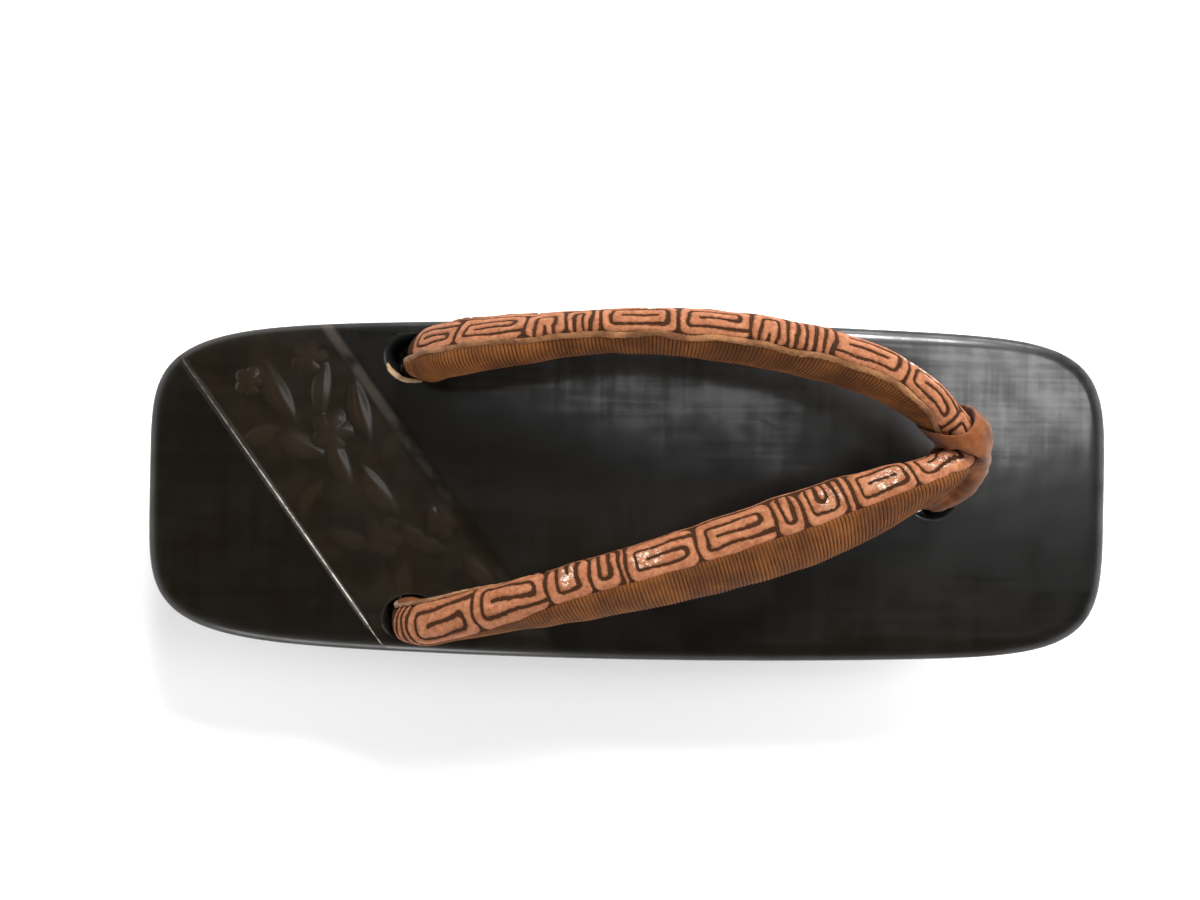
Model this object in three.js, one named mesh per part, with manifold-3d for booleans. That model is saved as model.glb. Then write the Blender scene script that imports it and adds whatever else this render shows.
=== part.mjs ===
// A wooden geta: a carved block with a flat deck and two teeth, a stuffed thong strap with a knot
// under each rear hole, and a toe loop that ties the strap's fold down into the front hole.
// Millimetres. +X points to the toe and +Z up, from an origin on the floor below the deck's middle.

import * as THREE from "three";
import { mergeVertices } from "three/addons/utils/BufferGeometryUtils.js";
import { ConvexGeometry } from "three/addons/geometries/ConvexGeometry.js";
import Module from "manifold-3d";

// ---- driving dimensions -------------------------------------------------------------------------

const LENGTH = 220;
const HALF_LENGTH = LENGTH / 2;
const DECK_HEIGHT = 45;
const BOARD_THICKNESS = 16;
const BOARD_UNDERSIDE = DECK_HEIGHT - BOARD_THICKNESS;

// The deck's outline: a long shallow arc on each side, closed by a rounded end at heel and toe.
const WIDEST = { halfWidth: 38.96, x: 4.5, fallPerSquare: 0.0003 };
const HEEL_END = { reach: 78.24, flatness: 6, roundness: 4.92 };
const TOE_END = { reach: 59.5, flatness: 5.96, roundness: 4.68 };

// The underside sweeps up under the toe and, less, under the heel.
const TOE_SWEEP = { from: 60, to: HALF_LENGTH, rise: 6 };
const HEEL_SWEEP = { from: -84, to: -HALF_LENGTH, rise: 4 };

const TOP_EDGE_RADIUS = 3;
const BOTTOM_EDGE_RADIUS = 2;

// Each tooth spans the block and thickens by draft up to the board, which it meets in a fillet. Its ends
// lean in from the deck's outline down to the floor.
const TEETH = [
  { name: "rear", from: -80, to: -64 },
  { name: "front", from: 40, to: 56 },
];
const TOOTH = { draft: 0.8, insetAtBoard: 1, insetAtFloor: 2.5, fillet: 3, edge: 0.8, intoBoard: 3 };

// Two oval holes behind the foot's arch and a round one between the toes, all straight through the board.
const HOLES = [
  { name: "rear left", x: -49, y: 29.8, radiusX: 6.4, radiusY: 5.1 },
  { name: "rear right", x: -49, y: -29.8, radiusX: 6.4, radiusY: 5.1 },
  { name: "front", x: 70.1, y: 0, radiusX: 5, radiusY: 5 },
];

const CLEARANCE = 0.3;
const LOOP_THICKNESS = 2.2;
const SECTION_POWER = 2.3;

// The strap, from the knot under one rear hole, over the foot, round the fold in front and back to the
// other. rise is measured from the deck; roll turns the section's wide axis about the strap.
const STRAP = [
  { x: -47.5, y: 29.8, rise: -26.4, wide: 4.0, thick: 4.0, roll: 0 },
  { x: -47.5, y: 29.8, rise: -24.6, wide: 10.0, thick: 10.0, roll: 0 },
  { x: -47.5, y: 29.8, rise: -21.2, wide: 13.0, thick: 13.0, roll: 0 },
  { x: -47.5, y: 29.8, rise: -18.2, wide: 11.0, thick: 11.0, roll: 0 },
  { x: -47.5, y: 29.8, rise: -16.4, wide: 8.2, thick: 7.6, roll: 0 },
  { x: -47.5, y: 29.8, rise: -10.0, wide: 8.2, thick: 7.6, roll: 0 },
  { x: -47.5, y: 29.8, rise: -3.0, wide: 8.4, thick: 7.6, roll: 0 },
  { x: -46.9, y: 29.7, rise: 3.5, wide: 9.6, thick: 7.8, roll: 5 },
  { x: -43.4, y: 29.8, rise: 10.5, wide: 12.0, thick: 8.4, roll: 16 },
  { x: -35.0, y: 30.6, rise: 18.0, wide: 13.0, thick: 8.8, roll: 38 },
  { x: -22.0, y: 31.8, rise: 23.5, wide: 14.0, thick: 8.8, roll: 62 },
  { x: -7.0, y: 33.0, rise: 26.5, wide: 15.2, thick: 8.4, roll: 84 },
  { x: 8.0, y: 33.0, rise: 28.0, wide: 16.0, thick: 8.6, roll: 92 },
  { x: 23.0, y: 31.6, rise: 28.0, wide: 16.2, thick: 8.8, roll: 97 },
  { x: 37.0, y: 29.3, rise: 27.0, wide: 15.8, thick: 8.8, roll: 100 },
  { x: 49.0, y: 25.8, rise: 25.5, wide: 14.8, thick: 8.6, roll: 100 },
  { x: 58.5, y: 20.9, rise: 24.0, wide: 13.2, thick: 8.2, roll: 96 },
  { x: 64.2, y: 16.5, rise: 22.6, wide: 11.8, thick: 7.2, roll: 92 },
  { x: 67.3, y: 13.2, rise: 21.7, wide: 11.0, thick: 6.2, roll: 91 },
  { x: 67.3, y: 9.6, rise: 21.4, wide: 11.0, thick: 6.2, roll: 89 },
  { x: 64.2, y: 6.5, rise: 21.9, wide: 11.8, thick: 7.4, roll: 82 },
  { x: 57.0, y: 3.0, rise: 23.0, wide: 13.8, thick: 8.6, roll: 62 },
  { x: 46.5, y: -1.2, rise: 24.0, wide: 15.2, thick: 9.2, roll: 36 },
  { x: 34.0, y: -6.0, rise: 24.2, wide: 16.2, thick: 9.4, roll: 24 },
  { x: 20.0, y: -11.0, rise: 23.6, wide: 15.8, thick: 9.4, roll: 28 },
  { x: 4.0, y: -16.0, rise: 22.4, wide: 15.0, thick: 9.2, roll: 38 },
  { x: -11.0, y: -20.2, rise: 20.0, wide: 14.0, thick: 9.0, roll: 48 },
  { x: -24.0, y: -23.8, rise: 16.8, wide: 12.8, thick: 8.6, roll: 66 },
  { x: -35.0, y: -26.8, rise: 12.6, wide: 11.6, thick: 8.2, roll: 82 },
  { x: -45.0, y: -29.4, rise: 7.2, wide: 10.4, thick: 7.8, roll: 90 },
  { x: -49.2, y: -30.0, rise: 0.0, wide: 8.6, thick: 7.6, roll: 90 },
  { x: -49.4, y: -30.0, rise: -8.0, wide: 8.2, thick: 7.6, roll: 90 },
  { x: -49.4, y: -30.0, rise: -16.4, wide: 8.2, thick: 7.6, roll: 90 },
  { x: -49.4, y: -30.0, rise: -18.2, wide: 11.0, thick: 11.0, roll: 90 },
  { x: -49.4, y: -30.0, rise: -21.2, wide: 13.0, thick: 13.0, roll: 90 },
  { x: -49.4, y: -30.0, rise: -24.6, wide: 10.0, thick: 10.0, roll: 90 },
  { x: -49.4, y: -30.0, rise: -26.4, wide: 4.0, thick: 4.0, roll: 90 },
];

// The stretch of the strap, counted in rows, that the toe loop is wrapped round.
const WRAPPED_ROWS = { from: 16.9, to: 19.2 };

// The toe loop's stem, from the wrap down through the front hole to its knot.
const STEM = [
  { x: 69.0, y: 12.6, rise: 16.6, wide: 7.6, thick: 6.4, roll: 0 },
  { x: 70.2, y: 8.6, rise: 12.4, wide: 7.6, thick: 6.6, roll: 0 },
  { x: 70.5, y: 3.6, rise: 7.0, wide: 7.6, thick: 6.8, roll: 0 },
  { x: 70.2, y: 0.4, rise: 1.5, wide: 7.6, thick: 7.2, roll: 0 },
  { x: 70.1, y: 0.0, rise: -5.0, wide: 8.0, thick: 7.6, roll: 0 },
  { x: 70.1, y: 0.0, rise: -16.2, wide: 8.0, thick: 7.6, roll: 0 },
  { x: 70.1, y: 0.0, rise: -18.0, wide: 11.0, thick: 11.0, roll: 0 },
  { x: 70.1, y: 0.0, rise: -21.0, wide: 13.0, thick: 13.0, roll: 0 },
  { x: 70.1, y: 0.0, rise: -24.2, wide: 10.0, thick: 10.0, roll: 0 },
  { x: 70.1, y: 0.0, rise: -26.0, wide: 4.0, thick: 4.0, roll: 0 },
];

// ---- fineness -----------------------------------------------------------------------------------

const MIDDLE_GAP = 0.05;
const OUTLINE_STEPS = 56;
const EDGE_STEPS = 4;
const TOOTH_STEPS = 6;
const HOLE_SIDES = 32;
const STRAP_SIDES = 20;
const STATIONS_PER_ROW = 3;

// ---- closed solids from grids of points ---------------------------------------------------------

const wasm = await Module();
wasm.setup();

function toManifold(geometry) {
  const bare = geometry.clone();
  bare.deleteAttribute("normal");
  bare.deleteAttribute("uv");
  const merged = mergeVertices(bare, 1e-4);
  return new wasm.Manifold(new wasm.Mesh({
    numProp: 3,
    vertProperties: new Float32Array(merged.attributes.position.array),
    triVerts: new Uint32Array(merged.index.array),
  }));
}

function toGeometry(manifold) {
  const mesh = manifold.getMesh();
  const geometry = new THREE.BufferGeometry();
  geometry.setAttribute("position", new THREE.BufferAttribute(mesh.vertProperties, 3));
  geometry.setIndex(new THREE.BufferAttribute(mesh.triVerts, 1));
  geometry.computeVertexNormals();
  return geometry;
}

// The walls between equal rings of points, stacked so that the rings run anticlockwise seen from ahead.
function ringWalls(ringCount, size) {
  const faces = [];
  for (let ring = 0; ring < ringCount - 1; ring += 1) {
    for (let i = 0; i < size; i += 1) {
      const next = (i + 1) % size;
      const [a, b] = [ring * size + i, ring * size + next];
      const [c, d] = [a + size, b + size];
      faces.push(a, b, d, a, d, c);
    }
  }
  return faces;
}

function solidFrom(points, faces) {
  const geometry = new THREE.BufferGeometry().setFromPoints(points);
  geometry.setIndex(faces);
  return geometry;
}

// A solid of symmetric plan rings, lowest first. The ring's second half mirrors its first, so each end
// is closed by strips that run straight across from one side to the other.
function stackedSolid(rings) {
  const size = rings[0].length;
  const faces = ringWalls(rings.length, size);
  const last = (rings.length - 1) * size;
  for (let i = 0; i < size / 2 - 1; i += 1) {
    const [a, b, c, d] = [i, i + 1, size - 2 - i, size - 1 - i];
    faces.push(a, c, b, a, d, c);
    faces.push(last + a, last + b, last + c, last + a, last + c, last + d);
  }
  return solidFrom(rings.flat(), faces);
}

// ---- the block ----------------------------------------------------------------------------------

function endCurve(distance, end) {
  const share = THREE.MathUtils.clamp(distance / end.reach, 0, 1);
  return (1 - (1 - share) ** end.flatness) ** (1 / end.roundness);
}

function halfWidth(x) {
  const side = WIDEST.halfWidth - WIDEST.fallPerSquare * (x - WIDEST.x) ** 2;
  return side * endCurve(x + HALF_LENGTH, HEEL_END) * endCurve(HALF_LENGTH - x, TOE_END);
}

function sweepRise(x, sweep) {
  const share = THREE.MathUtils.clamp((x - sweep.from) / (sweep.to - sweep.from), 0, 1);
  return sweep.rise * share ** 2;
}

function undersideAt(x) {
  return BOARD_UNDERSIDE + sweepRise(x, TOE_SWEEP) + sweepRise(x, HEEL_SWEEP);
}

// One side of the outline from heel to toe, with points crowded towards both blunt ends.
class DeckSide extends THREE.Curve {
  getPoint(t, target = new THREE.Vector3()) {
    const side = 1 - 2 * t;
    const x = -Math.sign(side) * HALF_LENGTH * (1 - (1 - Math.abs(side)) ** 5);
    const inner = THREE.MathUtils.clamp(x, -HALF_LENGTH, HALF_LENGTH);
    return target.set(inner, -halfWidth(inner), 0);
  }
}

function deckSidePoints() {
  const curve = new DeckSide();
  curve.arcLengthDivisions = 4000;
  const points = curve.getSpacedPoints(OUTLINE_STEPS);
  return points.map((point, i) => {
    const before = points[Math.max(i - 1, 0)];
    const after = points[Math.min(i + 1, points.length - 1)];
    const along = after.clone().sub(before).normalize();
    const atTip = i === 0 || i === points.length - 1;
    const inward = new THREE.Vector3(-along.y, along.x, 0);
    if (atTip) {
      inward.set(-Math.sign(point.x), 0, 0);
    }
    return { point, inward };
  });
}

// A plan ring: one side from heel to toe, then the mirrored side back.
function planRing(side, inset, heightAt) {
  const first = side.map(({ point, inward }) => {
    const moved = point.clone().addScaledVector(inward, inset);
    moved.y = Math.min(moved.y, -MIDDLE_GAP);
    moved.z = heightAt(moved.x);
    return moved;
  });
  const second = first.map((p) => new THREE.Vector3(p.x, -p.y, p.z)).reverse();
  return [...first, ...second];
}

function boardSolid() {
  const side = deckSidePoints();
  const quarterTurn = (step) => (Math.PI / 2) * (step / EDGE_STEPS);
  const rings = [];
  for (let step = 0; step <= EDGE_STEPS; step += 1) {
    const angle = quarterTurn(step);
    const inset = BOTTOM_EDGE_RADIUS * (1 - Math.sin(angle));
    const lift = BOTTOM_EDGE_RADIUS * (1 - Math.cos(angle));
    rings.push(planRing(side, inset, (x) => undersideAt(x) + lift));
  }
  for (let step = 0; step <= EDGE_STEPS; step += 1) {
    const angle = quarterTurn(step);
    const inset = TOP_EDGE_RADIUS * (1 - Math.cos(angle));
    const height = DECK_HEIGHT - TOP_EDGE_RADIUS * (1 - Math.sin(angle));
    rings.push(planRing(side, inset, () => height));
  }
  return toManifold(stackedSolid(rings));
}

// A tooth's ring at one height: its long faces stand `spread` outside the tooth's foot.
function toothRing(tooth, height, spread, inset) {
  const from = tooth.from - spread;
  const to = tooth.to + spread;
  const first = [];
  for (let step = 0; step <= TOOTH_STEPS; step += 1) {
    const x = from + ((to - from) * step) / TOOTH_STEPS;
    first.push(new THREE.Vector3(x, -(halfWidth(x) - inset), height));
  }
  const second = first.map((p) => new THREE.Vector3(p.x, -p.y, p.z)).reverse();
  return [...first, ...second];
}

function toothSolid(tooth) {
  const top = BOARD_UNDERSIDE;
  const filletFoot = top - TOOTH.fillet;
  const insetAt = (z) => THREE.MathUtils.lerp(TOOTH.insetAtFloor, TOOTH.insetAtBoard, z / top);
  const rings = [
    toothRing(tooth, 0, -TOOTH.edge, insetAt(0) + TOOTH.edge),
    toothRing(tooth, TOOTH.edge, 0, insetAt(TOOTH.edge)),
  ];
  for (let step = 0; step <= EDGE_STEPS; step += 1) {
    const angle = (Math.PI / 2) * (step / EDGE_STEPS);
    const height = filletFoot + TOOTH.fillet * Math.sin(angle);
    const spread = TOOTH.draft + TOOTH.fillet * (1 - Math.cos(angle));
    rings.push(toothRing(tooth, height, spread, insetAt(height)));
  }
  rings.push(toothRing(tooth, top + TOOTH.intoBoard, TOOTH.draft + TOOTH.fillet, TOOTH.insetAtBoard));
  return toManifold(stackedSolid(rings));
}

function holeCutter({ x, y, radiusX, radiusY }) {
  const cutter = new THREE.CylinderGeometry(1, 1, BOARD_THICKNESS * 2, HOLE_SIDES);
  cutter.rotateX(Math.PI / 2);
  cutter.scale(radiusX, radiusY, 1);
  cutter.translate(x, y, DECK_HEIGHT - BOARD_THICKNESS / 2);
  return toManifold(cutter);
}

function soleSolid() {
  let sole = boardSolid();
  for (const tooth of TEETH) {
    sole = sole.add(toothSolid(tooth));
  }
  for (const hole of HOLES) {
    sole = sole.subtract(holeCutter(hole));
  }
  return sole;
}

// ---- the strap and the toe loop -----------------------------------------------------------------

// A smooth value between rows: each quantity follows a cubic through the rows, at a uniform pace.
function rowAt(rows, place) {
  const index = Math.min(Math.floor(place), rows.length - 2);
  const share = place - index;
  const pick = (offset) => rows[THREE.MathUtils.clamp(index + offset, 0, rows.length - 1)];
  const [a, b, c, d] = [pick(-1), pick(0), pick(1), pick(2)];
  const blended = {};
  for (const key of Object.keys(b)) {
    const linear = c[key] - a[key];
    const square = 2 * a[key] - 5 * b[key] + 4 * c[key] - d[key];
    const cube = 3 * (b[key] - c[key]) + d[key] - a[key];
    blended[key] = (2 * b[key] + linear * share + square * share ** 2 + cube * share ** 3) / 2;
  }
  return blended;
}

function centreOf(row) {
  return new THREE.Vector3(row.x, row.y, DECK_HEIGHT + row.rise);
}

// The section's own axes: along the strap, up where the strap runs level and towards the heel where it
// drops into a hole, and sideways to the inside of the V.
function sectionAxes(rows, place) {
  const step = 0.02;
  const end = rows.length - 1;
  const before = centreOf(rowAt(rows, Math.max(place - step, 0)));
  const after = centreOf(rowAt(rows, Math.min(place + step, end)));
  const along = after.sub(before).normalize();
  const steep = Math.abs(along.z);
  const up = new THREE.Vector3(-steep, 0, 1 - steep);
  up.addScaledVector(along, -up.dot(along)).normalize();
  const side = along.clone().cross(up);
  return { along, up, side };
}

// One ring of the section, a superellipse `wide` by `thick` turned by roll and grown all round.
function sectionRing(rows, place, growth) {
  const row = rowAt(rows, place);
  const centre = centreOf(row);
  const { up, side } = sectionAxes(rows, place);
  const roll = THREE.MathUtils.degToRad(row.roll);
  const ring = [];
  for (let i = 0; i < STRAP_SIDES; i += 1) {
    const angle = (2 * Math.PI * i) / STRAP_SIDES;
    const across = Math.abs(Math.sin(angle + roll)) / (row.wide / 2 + growth);
    const through = Math.abs(Math.cos(angle + roll)) / (row.thick / 2 + growth);
    const radius = (across ** SECTION_POWER + through ** SECTION_POWER) ** (-1 / SECTION_POWER);
    const point = centre.clone().addScaledVector(side, radius * Math.sin(angle));
    ring.push(point.addScaledVector(up, radius * Math.cos(angle)));
  }
  return ring;
}

function tubeRings(rows, from, to, growth) {
  const count = Math.max(Math.round((to - from) * STATIONS_PER_ROW), 2);
  const rings = [];
  for (let station = 0; station <= count; station += 1) {
    rings.push(sectionRing(rows, from + ((to - from) * station) / count, growth));
  }
  return rings;
}

// A tube through the rows, closed by a fan at each end.
function tubeSolid(rows, growth = 0) {
  const rings = tubeRings(rows, 0, rows.length - 1, growth);
  const points = rings.flat();
  const faces = ringWalls(rings.length, STRAP_SIDES);
  const last = points.length - STRAP_SIDES;
  const ends = [centreOf(rows[0]), centreOf(rows[rows.length - 1])];
  for (let i = 0; i < STRAP_SIDES; i += 1) {
    const next = (i + 1) % STRAP_SIDES;
    faces.push(points.length, next, i);
    faces.push(points.length + 1, last + i, last + next);
  }
  return toManifold(solidFrom([...points, ...ends], faces));
}

// The loop: a sleeve drawn tight round the strap's fold, with its stem, less the strap's own room.
function toeLoopSolid() {
  const wrapped = tubeRings(STRAP, WRAPPED_ROWS.from, WRAPPED_ROWS.to, CLEARANCE + LOOP_THICKNESS);
  const sleeve = toManifold(new ConvexGeometry(wrapped.flat()));
  return sleeve.add(tubeSolid(STEM)).subtract(tubeSolid(STRAP, CLEARANCE));
}

// ---- the assembly -------------------------------------------------------------------------------

function piece(name, solid, color, roughness) {
  const material = new THREE.MeshStandardMaterial({ color, roughness, metalness: 0 });
  const mesh = new THREE.Mesh(toGeometry(solid), material);
  mesh.name = name;
  return mesh;
}

const geta = new THREE.Group();
geta.add(piece("sole", soleSolid(), 0x17130f, 0.25));
geta.add(piece("strap", tubeSolid(STRAP), 0xb9744c, 0.85));
geta.add(piece("toe_loop", toeLoopSolid(), 0x8a5030, 0.9));

export default geta;
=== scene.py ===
"""A geta sandal: lacquered wooden block on two teeth, stuffed thong strap, velvet toe loop."""

import math

import bpy
import numpy as np
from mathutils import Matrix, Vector


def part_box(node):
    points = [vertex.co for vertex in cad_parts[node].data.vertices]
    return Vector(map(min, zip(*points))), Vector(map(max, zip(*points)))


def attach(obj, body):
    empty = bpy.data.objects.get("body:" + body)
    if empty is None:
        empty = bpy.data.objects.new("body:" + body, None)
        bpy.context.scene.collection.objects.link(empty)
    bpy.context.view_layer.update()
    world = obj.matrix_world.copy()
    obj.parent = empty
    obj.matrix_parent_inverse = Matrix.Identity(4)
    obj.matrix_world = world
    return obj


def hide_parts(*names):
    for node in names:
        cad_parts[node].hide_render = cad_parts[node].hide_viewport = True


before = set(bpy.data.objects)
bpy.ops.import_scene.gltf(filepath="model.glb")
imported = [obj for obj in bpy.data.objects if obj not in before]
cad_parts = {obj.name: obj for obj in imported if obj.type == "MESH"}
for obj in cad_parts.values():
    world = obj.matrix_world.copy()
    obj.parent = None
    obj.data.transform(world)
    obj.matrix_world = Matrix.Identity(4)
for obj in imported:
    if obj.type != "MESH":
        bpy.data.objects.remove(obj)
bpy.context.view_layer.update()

bl_info = {
    "name": "Geta Sandal",
    "version": (1, 0, 0),
    "blender": (4, 5, 0),
    "location": "View3D > Sidebar > Geta",
    "description": "Builds a lacquered geta with a patterned thong strap and a velvet toe loop",
    "category": "Add Mesh",
}

MM = 0.001
SOLE_LOW, SOLE_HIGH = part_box("sole")
DECK = SOLE_HIGH[2]
HALF_LENGTH = (SOLE_HIGH[0] - SOLE_LOW[0]) / 2 / MM

# ---- shapes, in millimetres ---------------------------------------------------------------------

# The deck's outline: a long shallow arc on each side, closed by a rounded end at heel and toe.
WIDEST = {"half_width": 38.96, "x": 4.5, "fall": 0.0003}
HEEL_END = {"reach": 78.24, "flatness": 6.0, "roundness": 4.92}
TOE_END = {"reach": 59.5, "flatness": 5.96, "roundness": 4.68}
BOARD_THICKNESS = 16.0
TOE_SWEEP = {"from": 60.0, "to": 110.0, "rise": 6.0}
HEEL_SWEEP = {"from": -84.0, "to": -110.0, "rise": 4.0}
TOP_EDGE, TOP_DROP, BOTTOM_EDGE = 4.2, 1.6, 2.0
# columns: x of each tooth's two long faces, the one nearer the heel first
TEETH = ((-80.0, -64.0), (40.0, 56.0))
TOOTH = {"draft": 0.8, "inset_board": 1.0, "inset_floor": 2.5, "fillet": 3.0, "edge": 0.9, "corner": 1.6}

# columns: x, y, radius along x, radius along y
HOLES = ((-49.0, 29.8, 6.4, 5.1), (-49.0, -29.8, 6.4, 5.1), (70.1, 0.0, 5.0, 5.0))
HOLE_ROUND = 0.9
# The chipped rim of the first hole: the middle of the chip and how far it spreads, in degrees.
CHIP = {"turn": -118.0, "spread": 52.0}
# A short scratch on the deck: its middle, half length and half width, depth, and the turn's cosine
# and sine.
SCRATCH = {"x": 31.6, "y": 15.6, "length": 2.4, "width": 0.3, "depth": 0.07, "c": 0.87, "s": 0.5}

# The carved band across the heel, between two slanting lines from one edge of the deck to the other.
# columns: x, y at the line's start and end
BAND_GROOVE = ((-102.0, 27.8), (-56.4, -35.1))
BAND_BEVEL = ((-67.0, 35.9), (-14.0, -36.7))

# Low leaves in the band. columns: x, y, half length, half width, turn in degrees
LEAVES = np.array([
    (-81.0, 21.0, 8.5, 3.0, 118.0),
    (-84.0, 11.5, 6.0, 2.2, 20.0),
    (-75.5, 9.0, 8.0, 2.9, 152.0),
    (-70.8, 22.0, 7.5, 2.2, 86.0),
    (-62.0, 17.5, 8.5, 2.6, 104.0),
    (-66.5, 5.5, 7.5, 2.4, 112.0),
    (-57.5, -1.5, 8.0, 2.8, 128.0),
    (-53.5, 10.5, 7.0, 2.4, 60.0),
    (-63.5, -12.5, 7.0, 2.5, 160.0),
    (-47.5, -12.5, 8.0, 2.6, 152.0),
    (-41.5, 1.5, 6.5, 2.2, 100.0),
    (-51.0, -22.5, 6.5, 2.3, 100.0),
    (-33.5, -20.0, 7.0, 2.4, 136.0),
    (-73.0, -3.0, 5.5, 2.0, 60.0),
])
# Five-petalled blossoms. columns: x, y, radius
BLOSSOMS = np.array([
    (-73.5, 29.5, 4.6), (-68.0, 12.5, 5.2), (-55.5, -12.0, 5.4),
    (-42.5, -8.0, 4.6), (-87.0, 23.5, 3.8), (-41.5, -27.5, 4.4),
])

# The strap from one rear hole over the foot, round the fold and back to the other. rise is measured
# from the deck and roll turns the wide axis; piped and plain are the directions of its two seams.
# columns: x, y, rise, wide, thick, roll, piped, plain
STRAP = np.array([
    (-48.2, 29.8, -24.0, 8.2, 8.0, 0, 20, -170),
    (-49.0, 29.8, -16.4, 9.4, 12.2, 0, 20, -170),
    (-48.8, 29.8, -10.5, 9.4, 11.6, 0, 20, -170),
    (-47.7, 29.8, -4.0, 8.6, 8.4, 0, 20, -170),
    (-46.3, 29.7, 3.5, 9.6, 7.8, 5, 18, -170),
    (-42.8, 29.8, 10.5, 12.0, 8.4, 16, 16, -170),
    (-35.0, 30.6, 18.0, 13.0, 8.8, 38, 13, -170),
    (-22.0, 31.8, 23.5, 14.0, 8.8, 62, 13, -170),
    (-7.0, 33.0, 26.5, 15.2, 8.4, 84, 13, -170),
    (8.0, 33.0, 28.0, 16.0, 8.6, 92, 13, -170),
    (23.0, 31.6, 28.0, 16.2, 8.8, 97, 13, -170),
    (37.0, 29.3, 27.0, 15.8, 8.8, 100, 13, -170),
    (49.0, 25.8, 25.5, 14.8, 8.6, 100, 12, -170),
    (58.5, 20.9, 24.0, 13.2, 8.2, 96, 20, -166),
    (64.2, 16.5, 22.6, 11.8, 7.2, 92, 45, -140),
    (67.3, 13.2, 21.7, 11.0, 6.2, 91, 75, -110),
    (67.3, 9.6, 21.4, 11.0, 6.2, 89, 115, -50),
    (64.2, 6.5, 21.9, 11.8, 7.4, 82, 150, -16),
    (57.0, 3.0, 23.0, 13.8, 8.6, 62, 180, -2),
    (46.5, -1.2, 24.0, 15.2, 9.2, 36, 180, 0),
    (34.0, -6.0, 24.2, 16.2, 9.4, 24, 180, 0),
    (20.0, -11.0, 23.6, 15.8, 9.4, 28, 180, 0),
    (4.0, -16.0, 22.4, 15.0, 9.2, 38, 172, -4),
    (-11.0, -20.2, 20.0, 14.0, 9.0, 48, 150, -14),
    (-24.0, -23.8, 16.8, 12.8, 9.0, 66, 100, -44),
    (-35.0, -26.8, 12.6, 11.6, 9.4, 82, 68, -74),
    (-45.0, -29.6, 7.2, 10.4, 9.6, 90, 52, -84),
    (-49.2, -30.0, 0.0, 8.6, 8.2, 90, 48, -86),
    (-49.3, -30.0, -8.0, 9.4, 8.6, 90, 48, -86),
    (-49.1, -30.0, -16.4, 11.4, 9.2, 90, 48, -86),
    (-49.4, -30.0, -24.0, 8.2, 7.6, 90, 48, -86),
], dtype=float)
STRAP_ENDS = (1.3, len(STRAP) - 2.3)
SECTION_POWER = 2.3
CLOTH_INSET = 0.25
PIPING = {"step": 0.28, "stand": 0.18, "flatness": 0.62}

# The toe loop's stem. columns: x, y, rise, wide, thick, roll
STEM = np.array([
    (70.2, 12.6, 21.0, 6.0, 4.4, 0),
    (72.2, 10.8, 17.6, 7.4, 5.8, 0),
    (73.4, 8.2, 13.2, 7.8, 6.6, 0),
    (73.2, 3.8, 7.4, 7.8, 6.8, 0),
    (71.0, 0.7, 1.5, 7.6, 7.2, 0),
    (70.1, 0.0, -5.0, 8.0, 7.6, 0),
    (70.1, 0.0, -15.0, 8.0, 7.6, 0),
    (70.1, 0.0, -16.2, 6.0, 6.0, 0),
])
STEM_STEP = 0.35
# The loop round the fold: its middle and half widths as places along STRAP, and its gap, in
# millimetres, from the strap.
WRAP_MIDDLE, WRAP_SPAN_OUTSIDE, WRAP_SPAN_INSIDE = 15.18, 0.90, 1.70
WRAP_GAP = 0.35

# The knots tied in the tails under the board. columns: x, y, height of the middle
KNOTS = {
    "rear_left": (-47.5, 29.8, 23.0),
    "rear_right": (-49.4, -30.0, 23.0),
    "front": (70.1, 0.0, 23.2),
}

# How far the trefoil's unit loop is spread along x, y and z.
KNOT_SPREAD = (1.42, 1.42, 1.9)

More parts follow.
